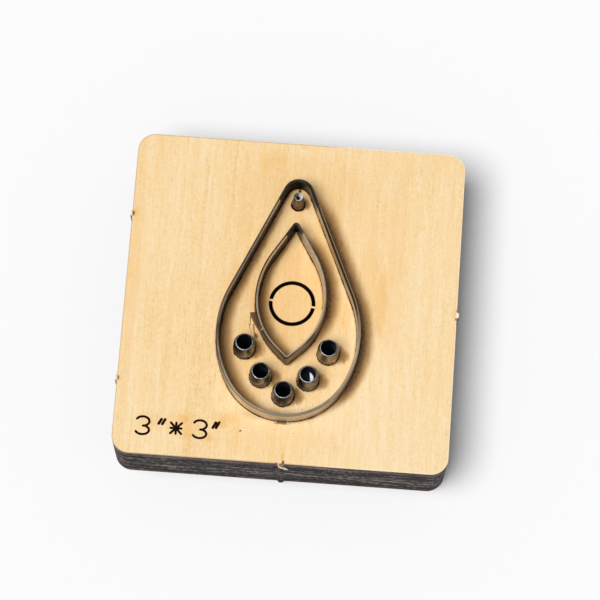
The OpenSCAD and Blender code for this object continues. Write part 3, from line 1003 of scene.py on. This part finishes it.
def edge_light_and_shade(facing, front_highlight, right_shade):
    """Painted shade, painted highlight, painted edge shade and darker land of a rule by the way it faces,
    each from 0 to 1.

    The front takes a painted highlight by one share, and the right-hand edge takes painted shade by another.
    The land is darker on the left, and a band at the left waist takes painted shade.
    """
    across, along = facing.T
    front = ramp(-along, 0.25, 0.75) * front_highlight
    leftward = ramp(-across, 0.0, 2 / 3)
    rightward = ramp(across, 0.4, 11 / 15)
    waist = front_highlight * leftward * ramp(np.abs(along), 0.35, 0.0)
    edge_shade = right_shade * rightward * ramp(along, -0.2, 0.3)
    edge_shade = np.maximum(edge_shade, 0.45 * front * (1.0 - leftward))
    edge_shade = np.maximum(edge_shade, 0.9 * waist)
    left_land_dark = leftward * (1.0 - front) * np.clip(0.5 + 1.2 * along, 0.3, 1.0)
    lit = 0.75 * np.maximum(across, 0.0) * (1.0 + 0.8 * np.minimum(along, 0.0))
    return {
        "facing_shade": (0.95 - lit) * (1.0 - front * (0.74 + 0.26 * leftward)),
        "facing_highlight": np.maximum(rightward, front * (0.75 + 0.25 * leftward)),
        "edge_shade": edge_shade,
        "land_dark": np.maximum(edge_shade, left_land_dark),
    }


def blade(name, node, outline, temper, steels, front_highlight, right_shade):
    """A strip of rule swept round its loop from one butted end to the other.

    The section runs up the outer face, over the two bevels and down the inner face, and its foot
    rises over each bridge of the board.
    """
    loop, butt, bridges = outline
    ends = np.array(bridges)[:, None] + NOTCH_HALF * np.array([-1.0, 1.0])
    marks = np.concatenate([ends.ravel() - NOTCH_LEAN / 2, ends.ravel() + NOTCH_LEAN / 2])
    run = np.linspace(BUTT_GAP / 2, loop.total - BUTT_GAP / 2, int(loop.total / STEP))
    lengths = np.sort(np.concatenate([butt + run, butt + np.mod(marks - butt, loop.total)]))
    points, facing = loop.at(lengths)
    far = np.abs(np.mod(lengths[:, None] - bridges + loop.total / 2, loop.total) - loop.total / 2)
    foot = np.where((far < NOTCH_HALF).any(axis=1), NOTCH_TOP, 0.0)
    shoulder = RULE_TOP - BEVEL_H
    across = np.array([0.0, 0.0, (EDGE_LAND - RULE_T) / 2, -(EDGE_LAND + RULE_T) / 2, -RULE_T, -RULE_T])
    flat = points[:, None, :] + facing[:, None, :] * across[None, :, None]
    level = np.tile([0.0, shoulder, RULE_TOP, RULE_TOP, shoulder, 0.0], (len(lengths), 1))
    level[:, [0, -1]] = foot[:, None]
    place = np.mod(lengths + loop.total / 2, loop.total) - loop.total / 2
    start, end = temper
    values = edge_light_and_shade(facing, front_highlight, right_shade)
    values["temper"] = ramp(place, start, start + TEMPER_FADE) * ramp(place, end, end - TEMPER_FADE)
    values["along"] = lengths * MM
    spread = {title: np.repeat(numbers, len(across)) for title, numbers in values.items()}
    kinds = np.r_[np.tile([0, 1, 3, 2, 0, 0], len(lengths) - 1), 0, 0]
    return piece(name, [np.dstack([flat, level])], steels, node,
                 values=spread, kinds=kinds, sharp=20.0)


# Punches

def turned(name, node, profile, rim_start, bore_start, materials, painted_light=None):
    """A closed profile of radius and height turned round a solid's upright axis, with one painted highlight
    patch.

    Its rows are body, then rim and bore from the two starts given, and the foot is body again.
    """
    middle, _ = upright(node)
    kinds = np.zeros(len(profile), int)
    kinds[rim_start:bore_start] = 1
    kinds[bore_start:-1] = 2
    angles = angles_round(PUNCH_PARTS)
    radius, height = profile.T[:, :, None]
    grid = np.dstack([
        middle[0] + radius * np.cos(angles),
        middle[1] + radius * np.sin(angles),
        np.tile(height, (1, len(angles))),
    ])
    patch = np.zeros(grid.shape[:2])
    if painted_light:
        side, spread, top, bottom, strength = painted_light
        swing = np.abs(np.mod(angles - math.radians(side) + math.pi, 2 * math.pi) - math.pi)
        depth = RULE_TOP - height
        upper, lower = ramp(depth, top, top + HIGHLIGHT_FADE), ramp(depth, bottom, bottom - HIGHLIGHT_FADE)
        width = math.radians(spread)
        patch = strength * upper * lower * ramp(swing, width, 0.375 * width)
    return piece(name, [grid], materials, node, rings=True, values={"painted_light_share": patch.ravel()},
                 kinds=np.repeat(kinds, len(angles)), sharp=28.0)


def rounded_lip(inner, outer, low, high, count):
    """Quarter of an ellipse from the outside of a lip up to its crest."""
    turn = np.linspace(0.0, math.pi / 2, count)
    return np.c_[inner + (outer - inner) * np.cos(turn), low + (high - low) * np.sin(turn)]


def bore_wall(radius, top, bottom):
    """Rings down the wall of a bore."""
    return np.c_[np.full(WALL_RINGS, radius), np.linspace(top, bottom, WALL_RINGS)]


def tube_body(outside, waist, neck, shoulder):
    """Profile of a tube's outside: full radius in the board, and its waist from neck to shoulder."""
    low_neck, high_neck = neck
    return [
        [outside, 0.0],
        [outside, BOARD_TOP + low_neck],
        [waist, BOARD_TOP + high_neck],
        [waist, shoulder],
    ]


def tube_punch(name, node, materials):
    """Tube with a tapered end, a rounded honed lip and a bore that widens below its cutting length."""
    _, outside = upright(node)
    bore_z = RULE_TOP - TUBE_BORE_DEPTH
    body = tube_body(outside, outside * TUBE_WAIST, TUBE_NECK, RULE_TOP - TUBE_TAPER_H)
    lip = rounded_lip(TUBE_MOUTH_R, TUBE_LIP_R, RULE_TOP - TUBE_LIP_H, RULE_TOP, 6)
    wall = bore_wall(TUBE_BORE_R, RULE_TOP - TUBE_WALL_START, bore_z)
    back = bore_wall(TUBE_BACK_R, bore_z - TUBE_RELIEF, 0.0)
    profile = np.vstack([body, lip, wall, back])
    bore_start = len(body) + len(lip) - 1
    return turned(name, node, profile, len(body), bore_start, materials, BORE_HIGHLIGHTS.get(node))


def hole_punch(name, node, materials):
    """Small tube with a collar, a long taper and a countersunk tip, bright in its painted highlight."""
    _, outside = upright(node)
    body = tube_body(outside, outside * HOLE_WAIST, HOLE_NECK, BOARD_TOP + HOLE_COLLAR)
    lip = rounded_lip(HOLE_CREST_R, HOLE_RIM_R, RULE_TOP - BEVEL_H, RULE_TOP, 8)
    sink_top, sink_depth = HOLE_SINK
    sink = np.c_[
        np.linspace(HOLE_CREST_R - sink_top, HOLE_BORE_R, 8),
        np.linspace(RULE_TOP - sink_top, RULE_TOP - sink_depth, 8),
    ]
    wall = bore_wall(HOLE_BORE_R, RULE_TOP - HOLE_WALL_START, 0.0)
    profile = np.vstack([body, lip, sink, wall])
    sink_start = len(body) + len(lip)
    bore_start = sink_start + len(sink) - 1
    return turned(name, node, profile, sink_start - 2, bore_start, materials, HOLE_HIGHLIGHT)


def cut_slug(name, node, stock):
    """A slug of cut stock left in a tube's bore, in painted shade but for a pale half-moon of painted light
    on its face.

    Rings run out from the middle of the crowned face to the bore's wall and back under it. Along the
    half-moon, s goes from -1 to 1, its left side leans, and it is widest at the middle of s.
    """
    middle, _ = upright(node)
    radius = TUBE_BORE_R - SLUG_CLEAR
    share = np.r_[0.01, np.linspace(0.06, 1.0, 36)][:, None]
    angles = angles_round(SEAT_PARTS)
    x = radius * share * np.cos(angles)
    y = radius * share * np.sin(angles)
    s = np.clip(y / (0.66 * radius), -1.0, 1.0)
    left = (0.22 - 0.09 * s) * radius
    right = left + 0.50 * radius * np.maximum(1.0 - s ** 2, 0.0) ** 0.7
    lit_patch = ramp(x, left, left + 0.10) * ramp(x, right, right - 0.22)
    face = RULE_TOP - SLUG_DEPTH + SLUG_CROWN * np.cos(share * math.pi / 2) + 0.05 * lit_patch
    upper = np.dstack([middle[0] + x, middle[1] + y, face])
    lower = upper[::-1] - np.array([0.0, 0.0, SLUG_T])
    shade = np.concatenate([lit_patch, np.zeros_like(lit_patch)]).ravel()
    return piece(name, [np.concatenate([upper, lower])], [stock], values={"lit_patch": shade})


# Burns on the board's face

def stroke(line, width):
    """A low burnt ridge with round ends along a line on the board's face.

    Its half-width falls to nothing as a circle does at both ends, and its section is half an ellipse.
    """
    length = run_lengths(line)
    total, half_width = length[-1], width / 2
    ends = half_width * (1 - np.cos(np.linspace(0.05, math.pi / 2, 7)))
    middle = np.linspace(half_width, total - half_width, max(int(total / STROKE_STEP), 3))[1:-1]
    where = np.r_[ends, middle, total - ends[::-1]]
    centre = read_off(where, length, line)
    way = unit(np.gradient(centre, axis=0))
    side = np.c_[way[:, 1], -way[:, 0]]
    near = np.minimum(np.minimum(where, total - where), half_width)
    half = np.sqrt(np.maximum(half_width ** 2 - (half_width - near) ** 2, 1e-6))[:, None]
    turn = np.linspace(0.0, math.pi, 7)
    flat = centre[:, None, :] + side[:, None, :] * (half * np.cos(turn))[:, :, None]
    level = BOARD_TOP + STROKE_LIFT + STROKE_RISE * np.sin(turn) * half / half_width
    level[:, [0, -1]] -= STROKE_RISE
    return np.dstack([flat, level])


def bowl(centre_x, centre_y, half_width, half_height, start, end, count):
    """Centre line of one bowl of a numeral: part of an ellipse."""
    turn = np.radians(np.linspace(start, end, count))
    return np.c_[centre_x + half_width * np.cos(turn), centre_y + half_height * np.sin(turn)]


def numeral_three(left, top):
    """Centre lines of a plain 3: an open upper bowl, a wider lower bowl and a short bar between them."""
    middle, waist = left + 1.55, top - 2.13
    return [
        bowl(middle, top - 1.08, 1.5, 1.08, 168.0, -78.0, 30),
        bowl(middle, top - 3.1, 1.55, 1.02, 80.0, -170.0, 32),
        np.array([[left + 1.4, waist], [left + 1.9, waist], [left + 2.2, waist]]),
    ]


def inch_tick(left, top, lean, height):
    """Centre line of one slanted tick."""
    foot = np.array([left + 0.10, top - height])
    head = np.array([left + lean + 0.16, top])
    return np.vstack([foot, (foot + head) / 2, head])


def star_lines():
    """Centre lines of an eight-armed star whose slanted arms are longer."""
    turns = np.radians([0.0, 45.0, 90.0, 135.0])
    arms = np.c_[np.cos(turns), np.sin(turns)] * np.array([1.0, 1.35, 1.03, 1.35])[:, None] * STAR_REACH
    return [np.vstack([STAR_AT - arm, STAR_AT, STAR_AT + arm]) for arm in arms]


def size_mark(burnt):
    """The board's size burnt beside its corner: a 3, inch ticks, a star, a 3 and inch ticks."""
    first, second = NUMERALS
    lines = numeral_three(*first) + star_lines() + numeral_three(*second)
    grids = [stroke(line, NUMERAL_STROKE) for line in lines]
    grids += [stroke(inch_tick(*tick), TICK_STROKE) for tick in TICKS]
    return piece("burnt_size_mark", grids, [burnt])


def wandering(count, waves, low, high):
    """A seeded wavy width round a loop: a sum of sines with falling strength, held between two sizes."""
    number = np.arange(3, 3 + waves)
    phase = rng.uniform(0.0, 2 * math.pi, waves)
    weight = rng.uniform(0.4, 1.0, waves) / np.sqrt(number)
    wave = (weight * np.sin(angles_round(count)[:, None] * number + phase)).sum(axis=1)
    share = (wave - wave.min()) / (wave.max() - wave.min())
    return low + (high - low) * share ** 1.6


def beside(wall, outward, offsets, levels):
    """A section carried along a wall: offsets go out from the wall and levels up from the board's face."""
    flat = wall[:, None, :] + outward[:, None, :] * offsets[:, :, None]
    return np.dstack([flat, np.tile(BOARD_TOP + np.asarray(levels), (len(wall), 1))])


def burnt_lip(wall, outward, width, tuck, levels):
    """A thin burnt ridge: up from under the steel, down to its shoulder and out to its full width."""
    inside = np.full(len(wall), -tuck)
    return beside(wall, outward, np.c_[inside, inside, width * LIP_SHOULDER, width], levels)


def slot_lips(name, loop, burnt):
    """Burnt lips of a rule's slot: a thin ridge on each side, as wide as the laser happened to burn."""
    tuck, widths, waves, levels = SLOT_LIP
    grids = []
    for wall, outward, room in loop.walls(LIP_STEP):
        width = np.minimum(wandering(len(wall), waves, *widths), room)
        grids.append(burnt_lip(wall, outward, width, tuck, levels))
    return piece(name, grids, [burnt], rings=True)


def seat_lips(burnt):
    """Burnt rings where the punches stand in the board, wider in front of the hole punch."""
    tuck, widths, waves, levels = SEAT_LIP
    angles = angles_round(SEAT_PARTS)
    facing = np.c_[np.cos(angles), np.sin(angles)]
    grids = []
    for node in PUNCHES:
        middle, radius = upright(node)
        width = wandering(SEAT_PARTS, waves, *widths)
        if node == "hole_punch":
            width = width + 0.16 * np.clip(0.3 - facing[:, 1], 0.0, 1.0)
        grids.append(burnt_lip(middle + radius * facing, facing, width, tuck, levels))
    return piece("burnt_seat_lips", grids, [burnt], rings=True)


def scorch_and_shade_skin(wall, outward, room, reaches, gains, lift):
    """A thin skin of scorched veneer beside a cut, and its darkening.

    Darkening falls off as the exponent of distance over reach to a power, and both its strength and its reach
    grow on the side that faces along X, where painted shade is added to the scorch. Inside a sharp bend the
    skin is only as wide as the room there, so that its two sides never meet.
    """
    strength, shade_gain = gains
    shade_side = np.maximum(outward[:, 0], 0.0)
    strength = (strength + shade_gain * shade_side) * wandering(len(wall), SCORCH_AND_SHADE_WAVES, *SCORCH_AND_SHADE_WAVER)
    reach = SCORCH_AND_SHADE_REACH[0] + SCORCH_AND_SHADE_REACH[1] * shade_side
    past = reaches * np.minimum(room / reaches[-1], np.ones(len(wall)))[:, None]
    gone = (past / reaches[-1]) ** 3
    darkening = strength[:, None] * np.exp(-(past / reach[:, None]) ** SCORCH_AND_SHADE_POWER) * (1.0 - gone)
    levels = np.r_[np.full(len(reaches), lift), lift - SKIN_DEPTH, lift - SKIN_DEPTH]
    grid = beside(wall, outward, np.c_[past, past[:, -1], past[:, 0]], levels)
    return grid, np.hstack([darkening, np.zeros((len(wall), 2))])


def scorched_and_shaded_margins(loops, wood):
    """Veneer browned by scorch along both sides of each slot and round each punch, with painted shade on the
    sides facing +X.
    """
    skins = []
    for loop, lift in zip(loops, SLOT_SKIN_LIFTS):
        for wall, outward, room in loop.walls(SKIN_STEP):
            skins.append(scorch_and_shade_skin(wall, outward, room, SKIN_REACHES, SLOT_SCORCH_AND_SHADE, lift))
    angles = -angles_round(SEAT_PARTS)
    facing = np.c_[np.cos(angles), np.sin(angles)]
    reaches = SKIN_REACHES * SEAT_SKIN_SHARE
    for node in PUNCHES:
        middle, radius = upright(node)
        wall = middle + radius * facing
        skins.append(scorch_and_shade_skin(wall, facing, RULE_TOP, reaches, SEAT_SCORCH_AND_SHADE, SEAT_SKIN_LIFT))
    darkening = np.concatenate([share.ravel() for _, share in skins])
    grids = [grid for grid, _ in skins]
    return piece("scorched_and_shaded_margins", grids, [wood], rings=True, values={"darkening": darkening})


def specks(burnt):
    """A few dark specks of soot on the face: low domes of four rings on an uneven round."""
    places = [((-9.2, -31.2), 0.30), ((2.9, -30.9), 0.13), ((-24.5, 9.4), 0.10), ((12.4, -4.2), 0.11),
              ((17.5, -21.5), 0.12), ((-6.4, 6.0), 0.12), ((8.8, -16.9), 0.14), ((4.4, -25.2), 0.16)]
    share = np.array([0.05, 0.4, 0.8, 1.0])[:, None]
    rise = np.array([0.04, 0.035, 0.02, -0.03])[:, None]
    angles = angles_round(12)
    grids = []
    for at, size in places:
        uneven = size * (1.0 + 0.35 * np.sin(2 * angles + rng.uniform(0, 6)) + 0.2 * np.sin(5 * angles))
        x = at[0] + share * uneven * np.cos(angles)
        y = at[1] + 0.6 * share * uneven * np.sin(angles)
        grids.append(np.dstack([x, y, np.tile(BOARD_TOP + rise, (1, len(angles)))]))
    return piece("soot_specks", grids, [burnt])


# Torn wood and the burr

def fibre(start, way, length, width, thickness, curl=(0.0, 0.0, 0.0), scorch=0.0):
    """A torn fibre and its scorch: a flat tapered strip that leaves its root one way and bends by a curl."""
    share = np.linspace(0.0, 1.0, 9)[:, None]
    way = unit(np.asarray(way, float))
    centre = np.asarray(start) + length * (share * way + share ** 2 * np.asarray(curl, float))
    ahead = unit(np.gradient(centre, axis=0))
    up = np.array([0.0, 0.0, 1.0]) if abs(way[2]) < 0.8 else np.array([0.0, 1.0, 0.0])
    side = unit(np.cross(ahead, up))
    over = np.cross(side, ahead)
    taper = 1.0 - 0.92 * share ** 2.2
    turn = angles_round(6)
    across = side[:, None, :] * (width / 2 * taper * np.cos(turn))[:, :, None]
    above = over[:, None, :] * (thickness / 2 * taper * np.sin(turn))[:, :, None]
    return centre[:, None, :] + across + above, scorch


def laid_fibres(base, rows):
    """Fibres from rows of a place past the base, way, length with width and thickness, curl, and scorch."""
    return [fibre(base + at, way, *size, curl, scorch) for at, way, size, curl, scorch in rows]


def fibres(name, strips, raw):
    """A tuft of torn fibres as one piece, each with its own scorch, pressed flat at the part's sides."""
    low, high = BOARD_LOW[:2] + 0.01, BOARD_HIGH[:2] - 0.01
    grids = [np.dstack([np.clip(grid[..., :2], low, high), grid[..., 2]]) for grid, _ in strips]
    scorch = np.concatenate([np.full(grid[..., 0].size, share) for grid, share in strips])
    return piece(name, grids, [raw], values={"scorch": scorch})


def edge_tuft(at, out, count, spread, reach):
    """Short fibres where a tab snapped off: three creamy ones on the stub and more out of the edge."""
    along = np.array([-out[1], out[0], 0.0])
    outward = np.array([*out, 0.0])
    root = np.array([*at, BOARD_TOP + 0.02]) - 0.35 * outward
    strips = [
        fibre(root + 0.22 * lean * along, outward + 0.5 * lean * along,
              0.7, 0.30, 0.10, (0.0, 0.0, -0.1), -1.0)
        for lean in (-1.0, 0.0, 1.0)
    ]
    for _ in range(count):
        start = np.array([*at, BOARD_TOP - rng.uniform(0.05, 3.2)])
        start = start + along * rng.uniform(-spread, spread) - 0.15 * outward
        way = outward + along * rng.uniform(-0.7, 0.7) + np.array([0.0, 0.0, rng.uniform(-0.6, 0.3)])
        curl = np.array([0.0, 0.0, rng.uniform(-0.5, 0.2)])
        length = rng.uniform(0.4, 1.0) * reach
        width = rng.uniform(0.16, 0.4)
        strips.append(fibre(start, way, length, width, 0.12, curl, rng.choice([0.0, 0.1, 0.7])))
    return strips


def front_tab_break(raw):
    """The snapped front tab: a curled pale splinter, chips on the edge and a torn line down the wall."""
    stub = np.array([FRONT_STUB_X, -BOARD_HALF, BOARD_TOP])
    chip = stub + np.array([-0.30, -0.20, -1.5])
    down = np.array([0.34, -0.01, -0.72])
    strips = [
        fibre(chip + step * down, (1.0, -0.10, -0.45), 1.05, 0.85, 0.34, (0.0, 0.0, -0.05), -1.0)
        for step in range(4)
    ]
    strips += laid_fibres(stub, [
        ((-0.55, 0.10, -0.02), (0.10, -0.75, -0.5), (0.9, 0.5, 0.16), (0.1, 0.0, -0.2), 0.0),
        ((-0.50, -0.42, -0.2), (0.0, -0.03, -1.0), (6.2, 0.24, 0.10), (0.01, 0.0, 0.0), 0.0),
        ((-0.42, -0.42, -6.0), (0.01, -0.01, -1.0), (8.5, 0.12, 0.08), (0.0, 0.0, 0.0), 0.55),
        ((-0.9, 0.05, 0.0), (0.1, -0.6, -0.6), (0.9, 0.3, 0.14), (0.0, 0.0, 0.0), 0.75),
        ((0.2, -0.35, -1.4), (0.8, -0.4, -0.5), (0.9, 0.25, 0.12), (0.0, 0.0, -0.2), 0.1),
    ])
    return fibres("front_tab_splinters", strips, raw)


def fleck(start, way, lengths, scorches):
    """A short fibre at a cut, with a seeded length, width and scorch."""
    length = rng.uniform(*lengths)
    return fibre(start, way, length, rng.uniform(0.10, 0.24), 0.08, (0.0, 0.0, -0.3), rng.choice(scorches))


def punch_foot_fibres(raw):
    """Pale flecks of torn veneer at the front foot of each tube punch and under the teardrop."""
    strips = []
    root = BOARD_TOP - 0.02
    for node in TUBES:
        middle, radius = upright(node)
        for turn in np.radians(rng.uniform(205.0, 335.0, 7)):
            facing = np.array([math.cos(turn), math.sin(turn), 0.0])
            start = np.array([*middle, root]) + (radius + 0.02) * facing
            way = facing + np.array([rng.uniform(-0.8, 0.8), 0.0, rng.uniform(0.15, 0.8)])
            strips.append(fleck(start, way, (0.15, 0.5), [0.0, 0.0, 0.6]))
    for x in rng.uniform(-2.2, 2.0, 16):
        way = (rng.uniform(-0.9, 0.9), -1.0, rng.uniform(0.1, 0.7))
        strips.append(fleck((x, TEARDROP_LOW[1] - 0.05, root), way, (0.2, 0.55), [0.0, 0.0, 0.75]))
    return fibres("seat_fibres", strips, raw)


def torn_veneer(raw):
    """Strips of face veneer lifted along the inner rule beside its butt joint."""
    strips = laid_fibres(np.array([0.0, 0.0, BOARD_TOP]), [
        ((-8.62, -3.35, 0.03), (0.36, -0.93, 0.02), (5.2, 1.15, 0.14), (0.11, 0.0, 0.0), 0.84),
        ((-8.45, -3.6, 0.08), (0.37, -0.93, 0.02), (4.2, 0.22, 0.12), (0.10, 0.0, 0.0), 0.98),
        ((-8.95, -3.3, 0.03), (0.0, -1.0, 0.01), (3.3, 0.24, 0.10), (0.03, 0.0, 0.0), 0.78),
        ((-8.98, -3.42, 0.03), (1.0, 0.12, 0.05), (0.95, 0.34, 0.12), (0.0, 0.05, 0.0), 0.95),
        ((-8.15, -6.0, 0.03), (0.10, -0.99, 0.03), (2.6, 0.42, 0.14), (0.10, 0.0, 0.0), 0.60),
        ((-8.60, -6.9, 0.03), (0.06, -1.0, 0.03), (1.1, 0.50, 0.12), (0.0, 0.0, 0.0), 0.20),
        ((-9.15, -5.9, 0.03), (0.12, -0.99, 0.02), (1.7, 0.30, 0.10), (0.05, 0.0, 0.0), 0.38),
        ((-8.75, -7.3, 0.03), (0.30, -0.95, 0.03), (1.2, 0.34, 0.10), (0.0, 0.0, 0.0), 0.30),
        ((-7.85, -7.9, 0.03), (0.45, -0.86, 0.04), (1.5, 0.36, 0.14), (0.0, 0.0, 0.0), 0.86),
        ((-7.45, -8.3, 0.03), (0.1, -1.0, 0.06), (0.8, 0.34, 0.12), (0.2, 0.0, 0.0), 0.70),
    ])
    return fibres("torn_veneer", strips, raw)


def butt_burr(steel):
    """The bright turned-up corner where the inner rule's ends butt."""
    edge = np.array([0.0, 0.0, RULE_TOP])
    strips = [
        fibre(edge + (-6.05, -8.72, -0.25), (0.45, 0.6, 0.25), 0.75, 0.20, 0.16),
        fibre(edge + (-6.15, -8.85, -0.55), (-0.2, 0.5, 0.3), 0.45, 0.18, 0.14),
    ]
    return piece("butt_burr", [grid for grid, _ in strips], [steel])


# Stage

def floor_stage():
    """A wide pale sheet under the die."""
    signs = [(-1, -1), (1, -1), (1, 1), (-1, 1)]
    mesh = bpy.data.meshes.new("studio_floor")
    mesh.from_pydata([(x * FLOOR_HALF, y * FLOOR_HALF, FLOOR_LEVEL) for x, y in signs], [], [(0, 1, 2, 3)])
    mesh.materials.append(Finish("studio_paper").surface(FLOOR_COLOUR, 0.9, specular=0.0))
    sheet = add_object("studio_floor", mesh)


def world_light():
    """White to the camera and in reflections, and a soft even fill on everything else."""
    world = bpy.data.worlds.new("studio")
    bpy.context.scene.world = world
    world.use_nodes = True
    tree = world.node_tree
    fill = tree.nodes["Background"]
    fill.inputs["Color"].default_value = FILL_COLOUR
    fill.inputs["Strength"].default_value = FILL_STRENGTH
    white = tree.nodes.new("ShaderNodeBackground")
    white.inputs["Strength"].default_value = 1.0
    path = tree.nodes.new("ShaderNodeLightPath")
    seen = path.outputs["Is Camera Ray"]
    for ray in ("Is Glossy Ray", "Is Transmission Ray"):
        either = tree.nodes.new("ShaderNodeMath")
        either.operation = "MAXIMUM"
        tree.links.new(seen, either.inputs[0])
        tree.links.new(path.outputs[ray], either.inputs[1])
        seen = either.outputs[0]
    mix = tree.nodes.new("ShaderNodeMixShader")
    for socket, output in zip(mix.inputs, (seen, fill.outputs[0], white.outputs[0])):
        tree.links.new(output, socket)
    tree.links.new(mix.outputs[0], tree.nodes["World Output"].inputs["Surface"])


def key_light():
    """One broad soft light from high up on the front left."""
    lamp = bpy.data.lights.new("key_light", "SUN")
    lamp.energy = KEY_STRENGTH
    lamp.angle = math.radians(KEY_WIDTH)
    holder = add_object("key_light", lamp)
    holder.rotation_mode = "QUATERNION"
    holder.rotation_quaternion = Vector(KEY_FROM).to_track_quat("Z", "Y")


def camera():
    """The photograph's view: a long lens above the die, a little in front of it."""
    lens = bpy.data.cameras.new("camera")
    lens.lens = CAMERA_LENS
    lens.sensor_width = CAMERA_SENSOR
    holder = add_object("camera", lens)
    holder.location = np.array(CAMERA_AT) * MM
    holder.rotation_euler = np.radians(CAMERA_TURN)
    bpy.context.scene.camera = holder


# Assembly

def steel_pieces(teardrop, oval, rim):
    """The two rules, the punches and the slug."""
    steels = [rule_steel()] + [ground_bevel(name, **tones) for name, tones in BEVELS.items()]
    bodies = {name: punch_body_steel(name, *tones) for name, tones in PUNCH_BODIES.items()}
    # the tip's bright tones show only in its painted highlight; elsewhere it takes the dark painted shade
    # tone
    tip = honed_steel("bright_tip_steel", (0.72, 0.73, 0.70), (0.96, 0.96, 0.95), 0.1, (0.09, 0.085, 0.055))
    bore = black_bore()
    blade("outer_blade", "outer_rule", teardrop, TEARDROP_TEMPER, steels, front_highlight=1.0, right_shade=1.0)
    blade("inner_blade", "inner_rule", oval, OVAL_TEMPER, steels, front_highlight=0.15, right_shade=0.2)
    cut_slug("bore_slug", "tube_punch_4", cut_stock())
    for number, node in enumerate(TUBES, 1):
        body = bodies["tanned_punch_steel" if node == "tube_punch_5" else "oiled_punch_steel"]
        tube_punch(f"tube_{number}", node, [body, rim, bore])
    hole_punch("hole_tube", "hole_punch", [bodies["wood_reflection_punch_steel"], tip, bore])


def wooden_pieces(teardrop, oval, rim):
    """The board's finish, burns and torn wood and the burr by it, in the order of their random draws."""
    wood, burnt, raw = plywood((teardrop, oval)), burnt_line(), raw_fibre()
    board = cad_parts["die_board"]
    board.data.materials.clear()
    board.data.materials.append(wood)
    size_mark(burnt)
    scorched_and_shaded_margins((teardrop[0], oval[0]), wood)
    slot_lips("teardrop_slot_lips", teardrop[0], burnt)
    slot_lips("oval_slot_lips", oval[0], burnt)
    seat_lips(burnt)
    specks(burnt)
    torn_veneer(raw)
    butt_burr(rim)
    front_tab_break(raw)
    punch_foot_fibres(raw)
    for number, y in enumerate(LEFT_STUBS_Y, 1):
        fibres(f"left_tab_splinters_{number}", edge_tuft((-STUB_EDGE, y), (-1.0, 0.0), 7, 0.9, 0.75), raw)
    fibres("right_tab_splinters", edge_tuft((STUB_EDGE, RIGHT_STUB_Y), (1.0, 0.0), 6, 0.7, 0.6), raw)
    fibres("back_tab_splinters", edge_tuft((BACK_STUB_X, STUB_EDGE), (0.0, 1.0), 6, 0.9, 0.5), raw)


def build():
    """Dresses the frame and sets the stage."""
    teardrop, oval = teardrop_loop(), oval_loop()
    rim = honed_steel("honed_rim_steel", (0.06, 0.06, 0.065), (0.34, 0.34, 0.345), 0.9)
    steel_pieces(teardrop, oval, rim)
    wooden_pieces(teardrop, oval, rim)
    floor_stage()
    world_light()
    key_light()
    camera()
    bpy.context.scene.view_settings.view_transform = "Standard"


build()
